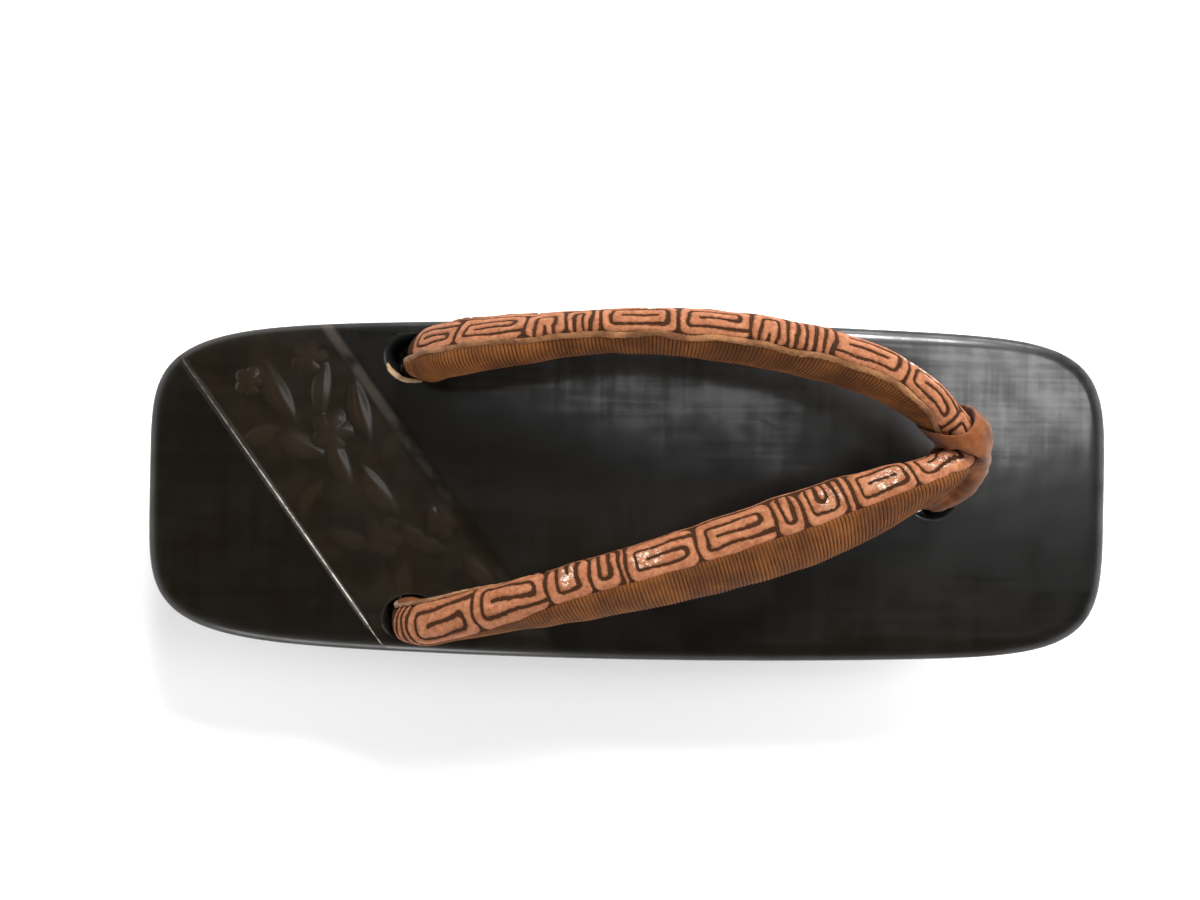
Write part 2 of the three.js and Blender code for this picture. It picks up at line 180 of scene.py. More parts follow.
# The print's motifs: a block's length and its dark strokes, each a chain of places with half the
# stroke's width there, in millimetres along and up a block of this height.
BLOCK_HEIGHT, BLOCK_GAP, BLOCK_CORNER, STROKE_BEND = 8.7, 0.36, 1.7, 1.1
THIN, BROAD = 0.30, 0.52
MOTIFS = {
    "g": (14.4, [[(14.4, 6.6, BROAD), (8.0, 6.5, THIN), (1.9, 6.4, THIN), (1.9, 2.1, THIN), (12.3, 2.2, THIN),
                  (12.3, 4.4, BROAD), (9.5, 4.4, THIN), (4.4, 4.2, THIN)]]),
    "e": (14.4, [[(14.4, 2.2, BROAD), (8.0, 2.2, THIN), (1.9, 2.1, THIN), (1.9, 6.4, THIN), (12.2, 6.6, THIN),
                  (12.2, 4.4, BROAD), (9.5, 4.3, THIN), (4.0, 4.3, THIN)]]),
    "o": (14.8, [[(7.0, 2.0, THIN), (2.0, 2.0, THIN), (2.0, 6.6, THIN), (12.8, 6.6, THIN), (12.8, 2.0, BROAD),
                  (6.9, 2.0, THIN)], [(4.2, 4.2, THIN), (10.8, 4.4, THIN)]]),
    "U": (7.6, [[(2.0, 9.0, THIN), (2.0, 2.3, THIN), (5.5, 2.3, BROAD), (5.5, 9.0, THIN)],
                [(3.8, 9.0, BROAD), (3.8, 6.2, THIN)]]),
    "u": (5.4, [[(1.7, 9.0, THIN), (1.8, 2.5, THIN), (3.7, 2.5, BROAD), (3.7, 9.0, THIN)]]),
    "W": (9.4, [[(1.9, 9.0, THIN), (1.9, 2.1, THIN), (7.6, 2.1, THIN), (7.6, 9.0, BROAD)],
                [(3.8, 9.0, THIN), (3.8, 4.3, BROAD), (5.7, 4.3, THIN), (5.7, 9.0, THIN)]]),
    "N": (7.8, [[(2.1, 0.0, THIN), (2.1, 6.4, THIN), (5.7, 6.4, THIN), (5.7, 0.0, THIN)],
                [(3.9, 0.0, BROAD), (3.9, 2.6, THIN)]]),
    "n": (5.6, [[(1.8, 0.0, THIN), (1.9, 6.2, BROAD), (3.8, 6.2, THIN), (3.8, 0.0, THIN)]]),
    "i": (1.9, []),
    "s": (15.0, [[(0.0, 2.1, THIN), (12.8, 2.1, THIN), (12.9, 6.5, BROAD), (3.0, 6.6, THIN)],
                 [(3.0, 4.4, THIN), (10.4, 4.3, THIN)]]),
}
# Each row reads from the heel to the toe on its own arm: motifs and the lengths they are drawn to.
PIPED_ROW = (
    ("g", 14.1), ("e", 15.2), ("N", 8.0), ("n", 5.0), ("i", 1.7), ("o", 14.1), ("e", 13.2), ("N", 6.8),
    ("i", 1.8), ("i", 1.8), ("i", 1.8), ("i", 1.8), ("i", 1.8), ("s", 15.4), ("g", 13.2),
)
PLAIN_ROW = (
    ("i", 1.6), ("i", 1.6), ("i", 1.6), ("g", 16.6), ("e", 16.2), ("U", 9.2), ("u", 6.0), ("i", 1.4),
    ("g", 14.2), ("e", 16.1), ("u", 5.7), ("W", 8.5), ("i", 1.7), ("o", 12.4), ("g", 14.0), ("e", 14.4),
    ("U", 7.6), ("u", 5.4),
)
# Where each row starts, how far it keeps from its seam, how much the piped one is squeezed, the gap
# between them, and the widths of cloth over which the plain one shrinks to fit.
PIPED_START, PLAIN_START, PIPED_SQUEEZE = 24.0, 18.6, 1.16
PIPED_MARGIN, PLAIN_MARGIN, ROW_GAP, CROWDED = 0.3, 0.1, 0.5, (17.0, 14.0)

# Crinkled foil left on the print. columns: distance from the far end, distance from the plain seam,
# half length along, half length across
FOIL = np.array([
    (61.0, 5.6, 1.7, 2.8), (77.0, 4.4, 3.2, 2.1), (114.5, 4.6, 2.4, 2.3), (126.5, 4.0, 4.6, 2.1),
    (138.5, 3.6, 5.0, 1.6), (166.0, 12.5, 5.5, 1.2), (216.0, 13.0, 5.0, 1.6),
])


# ---- light and finish ---------------------------------------------------------------------------

# Rectangular lights. columns: name, place, target, width, depth, watts
LIGHTS = (
    ("window", (350, 120, 560), (90, 15, 45), 200, 190, 1.45),
    ("ceiling", (10, 75, 560), (-5, 20, 45), 300, 80, 0.26),
    ("strip", (240, 470, 600), (75, 35, 45), 260, 110, 8.0),
    ("key", (700, 1400, 900), (20, 0, 45), 800, 420, 10.0),
    ("fill", (-600, -1500, 900), (0, 0, 45), 900, 420, 13.0),
)
# The world's light comes from a ring above the horizon: the direction's heights where it starts to
# fade and where it has faded, and what is left of it overhead.
RING = {"full": 0.42, "faded": 0.68, "left": 0.004}
FLOOR_REACH = 8.0

# Bump depths in millimetres, and the pace of the print's threads in radians a millimetre.
LACQUER_BUMP, PRINT_BUMP, LINING_BUMP, NAP_BUMP = 0.12, 0.12, 0.16, 0.18
THREAD_PACE = 14.0

# ---- smooth values and closed surfaces ----------------------------------------------------------


def smoothstep(low, high, value):
    """Rises from 0 at low to 1 at high along a cubic that starts and ends level."""
    share = np.clip((value - low) / (high - low), 0.0, 1.0)
    return share * share * (3.0 - 2.0 * share)


def ripple(u, v, scale, seed):
    """Soft unevenness between about -1 and 1: five plane waves of unlike directions and lengths."""
    rng = np.random.default_rng(seed)
    total = np.zeros(np.broadcast(u, v).shape)
    for _ in range(5):
        angle, phase = rng.uniform(0, 2 * np.pi, 2)
        pace = 2 * np.pi / scale * rng.uniform(0.6, 1.7)
        total += np.sin(pace * (u * np.cos(angle) + v * np.sin(angle)) + phase)
    return total / 2.6


def through_rows(rows, place):
    """The rows' values at fractional places: a uniform Catmull-Rom cubic through every column."""
    last = len(rows) - 1
    index = np.clip(np.floor(place).astype(int), 0, last - 1)
    share = (place - index)[..., None]
    a, b, c, d = (rows[np.clip(index + k, 0, last)] for k in (-1, 0, 1, 2))
    cube = 3 * (b - c) + d - a
    return (2 * b + (c - a) * share + (2 * a - 5 * b + 4 * c - d) * share**2 + cube * share**3) / 2


def centre_line(values):
    """Points of a path in millimetres, with rise counted from the deck."""
    return values[..., :3] + np.array([0.0, 0.0, DECK / MM])


def even_places(rows, start, stop, step):
    """Places along the rows from start to stop, `step` millimetres apart, and their distances."""
    dense = np.linspace(start, stop, 6000)
    travelled = distance_along(centre_line(through_rows(rows, dense)))
    distances = np.linspace(0.0, travelled[-1], int(travelled[-1] / step) + 1)
    return np.interp(distances, travelled, dense), distances


def distance_along(points):
    """Distance travelled along a chain of points, from 0 at the first."""
    return np.r_[0.0, np.cumsum(np.linalg.norm(np.diff(points, axis=0), axis=1))]


def full_turn(count):
    """Directions spaced evenly once round, in radians."""
    return np.linspace(0, 2 * np.pi, count, endpoint=False)


def unit(vectors):
    """Vectors scaled to length one."""
    return vectors / np.maximum(np.linalg.norm(vectors, axis=-1, keepdims=True), 1e-12)


def path_axes(rows, place):
    """Along, up and side at each place. Up is +Z where the path runs level and turns to -X as the path
    gets steep, then is squared to the path; side is along cross up, the inside of the V."""
    step = 0.02
    ahead = through_rows(rows, np.minimum(place + step, len(rows) - 1))
    behind = through_rows(rows, np.maximum(place - step, 0))
    along = unit(ahead[..., :3] - behind[..., :3])
    steep = np.abs(along[..., 2])
    up = np.stack([-steep, np.zeros_like(steep), 1.0 - steep], axis=-1)
    up = unit(up - along * np.sum(up * along, axis=-1, keepdims=True))
    return along, up, np.cross(along, up)


def around_path(rows, place, angle, growth):
    """Surface points at direction `angle` from up towards the side: a superellipse, wide by thick,
    turned by roll, each half axis longer by growth."""
    values = through_rows(rows, place)
    _, up, side = path_axes(rows, place)
    roll = np.radians(values[..., 5])
    across = np.abs(np.sin(angle + roll)) / (values[..., 3] / 2 + growth)
    through = np.abs(np.cos(angle + roll)) / (values[..., 4] / 2 + growth)
    radius = (across**SECTION_POWER + through**SECTION_POWER) ** (-1 / SECTION_POWER)
    offset = np.sin(angle)[..., None] * side + np.cos(angle)[..., None] * up
    return centre_line(values) + radius[..., None] * offset


def quads(count, around, close_along=False):
    """Quads of a grid of `count` rings with `around` points each, rings closed on themselves."""
    rings = np.arange(count if close_along else count - 1)[:, None]
    spots = np.arange(around)[None, :]
    ahead, beside = (rings + 1) % count, (spots + 1) % around
    rings, ahead = rings * around, ahead * around
    corners = [rings + spots, rings + beside, ahead + beside, ahead + spots]
    return np.stack(np.broadcast_arrays(*corners), axis=-1).reshape(-1, 4)


def volume_of(points, faces):
    """Signed volume from the fan triangles of each face: positive where the faces point outwards."""
    a, b, c = (points[faces[:, k]] for k in (0, 1, 2))
    volume = np.sum(a * np.cross(b, c))
    if faces.shape[1] == 4:
        volume += np.sum(a * np.cross(c, points[faces[:, 3]]))
    return volume


def new_mesh(name, points, faces):
    """A mesh of points in metres and faces of any number of corners."""
    mesh = bpy.data.meshes.new(name)
    mesh.from_pydata(points, [], faces)
    mesh.update()
    return mesh


def corners_of(mesh):
    """The mesh's vertices as an array of places in metres."""
    places = np.empty(len(mesh.vertices) * 3)
    mesh.vertices.foreach_get("co", places)
    return places.reshape(-1, 3)


def closed_tube(name, grid, close_along=False):
    """A mesh of rings, grid[ring, spot, xyz] in millimetres, with a fan over each open end, its faces
    turned so that the volume is positive."""
    count, around = grid.shape[:2]
    points = grid.reshape(-1, 3)
    faces = quads(count, around, close_along)
    fans = np.empty((0, 3), int)
    if not close_along:
        spots = np.arange(around)
        beside = (spots + 1) % around
        last = (count - 1) * around
        middle = np.array([grid[0].mean(axis=0), grid[-1].mean(axis=0)])
        first_fan = np.stack([beside, spots, np.full(around, len(points))], axis=-1)
        last_fan = np.stack([last + spots, last + beside, np.full(around, len(points) + 1)], axis=-1)
        fans = np.concatenate([first_fan, last_fan])
        points = np.concatenate([points, middle])
    if volume_of(points, faces) + (volume_of(points, fans) if len(fans) else 0.0) < 0:
        faces, fans = faces[:, ::-1], fans[:, ::-1]
    return new_mesh(name, points * MM, faces.tolist() + fans.tolist())


def joined(name, meshes):
    """One mesh of several closed ones, each kept as its own shell."""
    points, faces, start = [], [], 0
    for mesh in meshes:
        points.append(corners_of(mesh))
        faces += [[start + v for v in p.vertices] for p in mesh.polygons]
        start += len(mesh.vertices)
        bpy.data.meshes.remove(mesh)
    return new_mesh(name, np.concatenate(points), faces)


def linked(name, data):
    """A new object of this data, linked to the scene."""
    made = bpy.data.objects.new(name, data)
    bpy.context.scene.collection.objects.link(made)
    return made


def place_piece(mesh, material, replaces=None, sharp=60.0):
    """Links a finished mesh as a piece of one material that rides on the root, smooth but for edges
    sharper than `sharp` degrees."""
    piece = linked(mesh.name, mesh)
    mesh.materials.append(material)
    mesh.shade_smooth()
    mesh.set_sharp_from_angle(angle=math.radians(sharp))
    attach(piece, "root")
    if replaces:
        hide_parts(replaces)
    return piece


def store(mesh, name, values):
    """Keeps one number per vertex on the mesh, 0 for the vertices past the end of values."""
    attribute = mesh.attributes.new(name, "FLOAT", "POINT")
    padded = np.zeros(len(mesh.vertices), dtype=np.float32)
    padded[: values.size] = values.ravel()
    attribute.data.foreach_set("value", padded)


# ---- materials ----------------------------------------------------------------------------------


class Nodes:
    """Adds nodes to a tree and wires them by socket name."""

    def __init__(self, tree):
        self.tree = tree

    def add(self, kind, settings=None, **inputs):
        """A node of this kind, with its settings, each input set to a value or linked to a socket."""
        node = self.tree.nodes.new(kind)
        for key, value in (settings or {}).items():
            setattr(node, key, value)
        for key, value in inputs.items():
            numbered = key[0] == "_" and key[1:].isdigit()
            socket = node.inputs[int(key[1:]) if numbered else key.replace("_", " ")]
            if isinstance(value, bpy.types.NodeSocket):
                self.tree.links.new(value, socket)
            else:
                socket.default_value = value
        return node

    def math(self, operation, a, b=0.0, c=0.0):
        """One arithmetic step on two or three values."""
        return self.add("ShaderNodeMath", {"operation": operation}, _0=a, _1=b, _2=c).outputs[0]

    def times(self, a, b, plus=None):
        """a times b, with a third value added where one is given."""
        if plus is None:
            return self.math("MULTIPLY", a, b)
        return self.math("MULTIPLY_ADD", a, b, plus)

    def mix(self, share, a, b, blend="MIX"):
        """Two colours mixed by share."""
        settings = {"data_type": "RGBA", "blend_type": blend}
        return self.add("ShaderNodeMix", settings, _0=share, _6=a, _7=b).outputs[2]

    def ramp(self, value, low, high, to_low=0.0, to_high=1.0):
        """A value eased from low..high to to_low..to_high."""
        settings = {"interpolation_type": "SMOOTHSTEP"}
        node = self.add("ShaderNodeMapRange", settings, Value=value)
        for key, number in (("From Min", low), ("From Max", high), ("To Min", to_low), ("To Max", to_high)):
            node.inputs[key].default_value = number
        return node.outputs["Result"]

    def noise(self, where, scale, detail=3.0, roughness=0.55):
        """Cloudy noise, 0 to 1."""
        inputs = {"Scale": scale, "Detail": detail, "Roughness": roughness}
        return self.add("ShaderNodeTexNoise", Vector=where, **inputs).outputs[0]

    def stretch(self, where, scale, turn=0.0):
        """A position scaled unevenly, after a turn about Z in degrees."""
        rotation = (0.0, 0.0, math.radians(turn))
        return self.add("ShaderNodeMapping", Vector=where, Rotation=rotation, Scale=scale).outputs[0]

    def value(self, name):
        """A number kept on the mesh."""
        return self.add("ShaderNodeAttribute", {"attribute_name": name}).outputs["Fac"]

    def group(self, tree, **inputs):
        """A copy of a shared effect with its own values."""
        return self.add("ShaderNodeGroup", {"node_tree": tree}, **inputs).outputs


def new_group(name, inputs, outputs):
    """An empty shared effect with its named sockets."""
    tree = bpy.data.node_groups.new(name, "ShaderNodeTree")
    for label, kind, value in inputs:
        socket = tree.interface.new_socket(label, in_out="INPUT", socket_type=kind)
        if value is not None:
            socket.default_value = value
    for label, kind in outputs:
        tree.interface.new_socket(label, in_out="OUTPUT", socket_type=kind)
    return tree, tree.nodes.new("NodeGroupInput").outputs, tree.nodes.new("NodeGroupOutput")


def fibre_group():
    """Fibre: fine fuzzy noise and longer hairs, as a tone near 1 and a height."""
    if "Fibre" in bpy.data.node_groups:
        return bpy.data.node_groups["Fibre"]
    number = "NodeSocketFloat"
    tree, given, out = new_group(
        "Fibre",
        [("Vector", "NodeSocketVector", None), ("Scale", number, 3000.0), ("Depth", number, 0.25)],
        [("Tone", number), ("Height", number)],
    )
    nodes = Nodes(tree)
    fuzz = nodes.noise(given["Vector"], given["Scale"], 4.0, 0.7)
    coarse = nodes.noise(given["Vector"], nodes.times(given["Scale"], 0.11), 3.0, 0.6)
    both = nodes.times(fuzz, 0.65, nodes.times(coarse, 0.35))
    swing = nodes.times(nodes.math("SUBTRACT", both, 0.5), given["Depth"])
    tree.links.new(nodes.times(swing, 2.0, 1.0), out.inputs["Tone"])
    tree.links.new(both, out.inputs["Height"])
    return tree


def new_material(name, shader):
    """A material with a Principled shader whose plain sockets are set to `shader`."""
    material = bpy.data.materials.new(name)
    material.use_nodes = True
    principled = material.node_tree.nodes["Principled BSDF"]
    for key, value in shader.items():
        principled.inputs[key].default_value = value
    nodes = Nodes(material.node_tree)
    where = nodes.add("ShaderNodeTexCoord").outputs["Object"]
    return material, nodes, principled, where


def finish_material(nodes, principled, height, depth, **sockets):
    """Wires a height, worth `depth` millimetres a unit, through a bump into the shader, and the named
    sockets."""
    bump = nodes.add("ShaderNodeBump", Height=height, Distance=depth * MM, Strength=1.0)
    nodes.tree.links.new(bump.outputs[0], principled.inputs["Normal"])
    for key, value in sockets.items():
        nodes.tree.links.new(value, principled.inputs[key.replace("_", " ")])


def lacquer_material(settings):
    """Black lacquer over carved wood: a gloss crossed by fine brush marks both ways and by smudges, a
    browner carved band with painted highlights on its relief and its bevel, a painted glint along the
    incised line, painted shade that thins the coat towards the heel and the -Y side, and bare worn wood
    under the teeth and at a chipped hole."""
    shader = {"IOR": 1.29, "Coat IOR": 1.35, "Coat Roughness": 0.13}
    material, nodes, principled, where = new_material("black_lacquer", shader)
    band, bare, relief, hollow = (nodes.value(name) for name in ("band", "bare", "relief", "hollow"))
    deck, line_mm = nodes.value("deck"), nodes.value("line_mm")
    cloud = nodes.noise(where, 22.0, 4.0, 0.6)
    smudge = nodes.noise(nodes.stretch(where, (75.0, 110.0, 70.0), 8.0), 1.0, 3.0, 0.6)
    lengthwise = nodes.noise(nodes.stretch(where, (22.0, 620.0, 400.0)), 1.0, 2.0, 0.6)
    crosswise = nodes.noise(nodes.stretch(where, (540.0, 34.0, 300.0)), 1.0, 2.0, 0.6)
    brushed = nodes.times(lengthwise, 0.5, nodes.times(crosswise, 0.5))
    axes = nodes.add("ShaderNodeSeparateXYZ", Vector=where).outputs
    # Painted shade: towards the heel and the -Y side the coat's sheen is cut by up to 45 per cent, placed to
    # match how the light falls there; the same mask brings in the lacquer's browner cloud.
    heel = nodes.ramp(nodes.times(axes["X"], 0.35, axes["Y"]), 0.016, -0.014)
    warm = nodes.times(nodes.ramp(cloud, 0.25, 0.7, 0.35, 1.0), heel)
    black = nodes.mix(warm, settings.lacquer, settings.lacquer_warm)
    thin = nodes.ramp(nodes.noise(where, 75.0, 3.0, 0.6), 0.36, 0.64, 0.0, 0.85)
    brown = nodes.mix(thin, settings.band, settings.lacquer_warm)
    coloured = nodes.mix(band, black, brown)
    # Painted highlight: a paler colour on the band's bevel, broken by noise and fading towards -Y, stands in
    # for the soft glints there.
    bevel = nodes.ramp(nodes.times(band, nodes.math("SUBTRACT", 1.0, band)), 0.03, 0.25)
    bevel = nodes.times(bevel, nodes.ramp(nodes.noise(where, 80.0, 3.0, 0.6), 0.42, 0.62, 0.0, 0.8))
    bevel = nodes.times(bevel, nodes.ramp(axes["Y"], -0.006, 0.012, 0.2, 1.0))
    coloured = nodes.mix(bevel, coloured, settings.bevel)
    # Painted highlight: the raised tops of the carving are coloured paler brown.
    lit = nodes.mix(nodes.ramp(relief, 0.15, 0.9, 0.0, 0.6), coloured, settings.band_relief_highlight)
    # Painted glint: a pale colour along the incised line, broken into spots by noise and fading towards +Y.
    glints = nodes.ramp(nodes.noise(where, 520.0, 3.0, 0.6), 0.34, 0.62, 0.25, 1.0)
    fading = nodes.ramp(axes["Y"], 0.024, -0.020, 0.12, 1.0)
    incised = nodes.ramp(nodes.math("ABSOLUTE", line_mm), 0.19, 0.05)
    incised = nodes.times(nodes.times(incised, deck), nodes.times(glints, fading))
    lined = nodes.mix(incised, lit, settings.line)
    grain = nodes.noise(nodes.stretch(where, (35.0, 620.0, 620.0)), 1.0, 4.0, 0.6)
    wood = nodes.mix(nodes.ramp(grain, 0.3, 0.7), settings.wood, settings.wood_dark)
    soiled = nodes.mix(nodes.ramp(nodes.noise(where, 160.0), 0.45, 0.75, 0.0, 0.75), wood, settings.soil)
    ragged = nodes.times(nodes.noise(where, 900.0), 0.7, nodes.math("SUBTRACT", bare, 0.35))
    worn = nodes.ramp(ragged, 0.42, 0.58)
    colour = nodes.mix(worn, lined, soiled)
    marks = nodes.times(smudge, 0.45, nodes.times(brushed, 0.55))
    gloss = nodes.ramp(marks, 0.34, 0.66, 0.29, 0.42)
    edge = nodes.ramp(nodes.math("ABSOLUTE", line_mm), 1.1, 0.5)
    edge = nodes.times(edge, nodes.ramp(axes["Y"], -0.006, 0.010))
    dull = nodes.math("MAXIMUM", nodes.math("MAXIMUM", worn, hollow), nodes.times(edge, deck))
    rough = nodes.times(dull, 0.50, gloss)
    skin = nodes.times(smudge, 0.12)
    height = nodes.times(nodes.times(grain, worn), 1.2, skin)
    rubbing = nodes.times(brushed, 0.52, nodes.times(smudge, 0.48))
    polish = nodes.ramp(rubbing, 0.36, 0.63, 0.12, 1.0)
    # Painted shade: the coat is thinned towards the heel and the -Y side.
    polish = nodes.times(polish, nodes.times(heel, -0.45, 1.0))
    polish = nodes.math("MAXIMUM", polish, nodes.times(band, 0.55))
    coat = nodes.times(nodes.math("SUBTRACT", 1.0, dull), polish)
    sockets = {"Base_Color": colour, "Roughness": rough, "Coat_Weight": coat}
    finish_material(nodes, principled, height, LACQUER_BUMP, **sockets)
    return material


def print_material(settings):
    """The strap's printed cloth: raised copper print over dark woven ground, browner along its edges by
    painted shade, with painted highlights on the ground threads' tops and crinkled foil still bright in places."""
    material, nodes, principled, where = new_material("copper_print", {"Specular IOR Level": 0.10})
    frayed = nodes.times(nodes.noise(where, 1500.0, 2.0, 0.6), 0.34, -0.17)
    inked = nodes.math("ADD", nodes.value("print_mm"), frayed)
    mask = nodes.ramp(inked, -0.05, 0.07)
    fibre = nodes.group(fibre_group(), Vector=where, Scale=2600.0, Depth=0.55)
    blotch = nodes.ramp(nodes.noise(where, 420.0, 5.0, 0.7), 0.32, 0.72)
    copper = nodes.mix(blotch, settings.copper, settings.copper_pale)
    copper = nodes.mix(1.0, copper, fibre["Tone"], "MULTIPLY")
    rubbed = nodes.ramp(nodes.noise(where, 1100.0, 3.0, 0.6), 0.50, 0.68, 0.0, 0.5)
    copper = nodes.mix(rubbed, copper, settings.copper_worn_and_shaded)
    # Painted shade: the copper darkens towards its edges, where the raised print slopes down.
    copper = nodes.mix(nodes.ramp(inked, 0.02, 0.42, 0.55, 0.0), copper, settings.copper_worn_and_shaded)
    threads = [nodes.times(nodes.value(name), THREAD_PACE) for name in ("along_mm", "across_mm")]
    weave = nodes.times(*(nodes.times(nodes.math("SINE", thread), 0.5, 0.5) for thread in threads))
    # Painted highlight: the tops of the dark ground's threads are paler.
    ground = nodes.mix(weave, settings.ground, settings.ground_thread_highlight)
    flakes = nodes.ramp(nodes.noise(where, 900.0, 3.0, 0.7), 0.46, 0.60)
    shine = nodes.times(nodes.ramp(nodes.value("foil"), 0.25, 0.75), flakes)
    shine = nodes.times(shine, mask)
    crackle = nodes.add("ShaderNodeTexVoronoi", Vector=where, Scale=1700.0).outputs["Distance"]
    colour = nodes.mix(shine, nodes.mix(mask, ground, copper), settings.foil)
    rough = nodes.times(shine, -0.34, nodes.ramp(mask, 0.0, 1.0, 0.92, 0.66))
    height = nodes.times(nodes.times(crackle, shine), 4.5, fibre["Height"])
    height = nodes.times(weave, nodes.math("SUBTRACT", 1.0, mask), height)
    metal = nodes.times(shine, 0.75)
    sockets = {"Base_Color": colour, "Roughness": rough, "Metallic": metal}
    finish_material(nodes, principled, height, PRINT_BUMP, **sockets)
    return material


def lining_material(settings):
    """The ribbed lining: brown cord cloth, pale on its ribs, with painted shade between them."""
    shader = {"Sheen Weight": 0.03, "Sheen Roughness": 0.5, "Specular IOR Level": 0.12}
    material, nodes, principled, where = new_material("ribbed_lining", shader)
    rib = nodes.value("rib")
    fibre = nodes.group(fibre_group(), Vector=where, Scale=3400.0, Depth=0.55)
    patch = nodes.ramp(nodes.noise(where, 130.0), 0.3, 0.7)
    crest = nodes.mix(patch, settings.lining, settings.lining_pale)
    # Painted shade: the lining darkens between its ribs.
    colour = nodes.mix(nodes.ramp(rib, 0.05, 0.75), settings.lining_groove_shade, crest)
    colour = nodes.mix(1.0, colour, fibre["Tone"], "MULTIPLY")
    rough = nodes.ramp(patch, 0.0, 1.0, 0.82, 0.94)
    finish_material(nodes, principled, fibre["Height"], LINING_BUMP, Base_Color=colour, Roughness=rough)
    return material


def fuzzy_material(name, colour, dark, sheen, scale, depth):
    """Napped cloth or cord: two tones of one colour under fibre, with a soft sheen at grazing angles."""
    shader = {"Sheen Weight": sheen, "Sheen Roughness": 0.45, "Specular IOR Level": 0.2}
    material, nodes, principled, where = new_material(name, shader)
    fibre = nodes.group(fibre_group(), Vector=where, Scale=scale, Depth=depth)
    brushed = nodes.ramp(nodes.noise(where, 210.0, 3.0, 0.6), 0.32, 0.72)
    tone = nodes.mix(1.0, nodes.mix(brushed, dark, colour), fibre["Tone"], "MULTIPLY")
    rough = nodes.ramp(brushed, 0.0, 1.0, 0.95, 0.8)
    finish_material(nodes, principled, fibre["Height"], NAP_BUMP, Base_Color=tone, Roughness=rough)
    return material


# ---- the wooden block ---------------------------------------------------------------------------


def end_curve(distance, end):
    """Zero at the tip, one past the end's reach, with a blunt superelliptic shoulder."""
    share = np.clip(distance / end["reach"], 0.0, 1.0)
    return (1 - (1 - share) ** end["flatness"]) ** (1 / end["roundness"])


def half_width(x):
    """Half the deck's width: a shallow parabola times the two ends' curves."""
    side = WIDEST["half_width"] - WIDEST["fall"] * (x - WIDEST["x"]) ** 2
    return side * end_curve(x + HALF_LENGTH, HEEL_END) * end_curve(HALF_LENGTH - x, TOE_END)


def underside(x):
    """Height of the board's underside: level, rising by a square law under toe and heel."""
    height = np.full_like(x, DECK / MM - BOARD_THICKNESS)
    for sweep in (TOE_SWEEP, HEEL_SWEEP):
        share = np.clip((x - sweep["from"]) / (sweep["to"] - sweep["from"]), 0.0, 1.0)
        height += sweep["rise"] * share**2
    return height


def beyond_line(x, y, line):
    """Signed distance from a line through two points, positive on the toe's side."""
    (x0, y0), (x1, y1) = line
    length = math.hypot(x1 - x0, y1 - y0)
    return ((x - x0) * (y0 - y1) + (y - y0) * (x1 - x0)) / length


def leaf_heights(x, y):
    """Leaves: a pointed oval with a vein down its middle, the highest of them where they cross."""
    height = np.zeros_like(x)
    for leaf_x, leaf_y, length, width, turn in LEAVES:
        c, s = math.cos(math.radians(turn)), math.sin(math.radians(turn))
        u = ((x - leaf_x) * c + (y - leaf_y) * s) / length
        v = (-(x - leaf_x) * s + (y - leaf_y) * c) / width
        v = v + 0.35 * u * u
        reach = np.clip(1.0 - u * u, 1e-3, 1.0)
        body = np.clip(reach - v * v / reach, 0.0, 1.0)
        vein = 1.0 - 0.22 * np.exp(-((v / 0.16) ** 2))
        height = np.maximum(height, body * vein)
    return height


def blossom_heights(x, y):
    """Blossoms: petals from five lobes of the radius, a dimple and a small boss in the middle."""
    height = np.zeros_like(x)
    for flower_x, flower_y, size in BLOSSOMS:
        distance = np.hypot(x - flower_x, y - flower_y) / size
        turn = np.arctan2(y - flower_y, x - flower_x)
        reach = 0.72 + 0.26 * np.abs(np.cos(2.5 * turn))
        petals = np.sqrt(np.clip(1.0 - (distance / reach) ** 2, 0.0, 1.0))
        split = 1.0 - 0.5 * np.exp(-((np.cos(2.5 * turn) / 0.16) ** 2)) * smoothstep(0.15, 0.5, distance)
        boss = 0.5 * np.exp(-((distance / 0.13) ** 2))
        height = np.maximum(height, petals * split * smoothstep(0.0, 0.35, distance + 0.12) + boss)
    return height


def carving_heights(x, y):
    """The carved picture: the higher of the leaves and the blossoms."""
    return np.maximum(leaf_heights(x, y), blossom_heights(x, y))


def inside_band(x, y):
    """One inside the carved band, easing to zero over its bevel."""
    after = smoothstep(-0.1, 0.5, beyond_line(x, y, BAND_GROOVE))
    before = smoothstep(-0.6, 3.8, -beyond_line(x, y, BAND_BEVEL))
    return after * before


def deck_margin(x, y):
    """How far a point lies inside the deck's outline, across or along it, whichever is less."""
    return np.minimum(half_width(x) - np.abs(y), HALF_LENGTH - np.abs(x))


def deck_weight(x, y, ease=2.2):
    """One on the flat of the deck, easing to zero where its rounded edge starts. `ease` is how far
    inside that edge it reaches one."""
    return smoothstep(TOP_EDGE + 0.1, TOP_EDGE + ease, deck_margin(x, y))


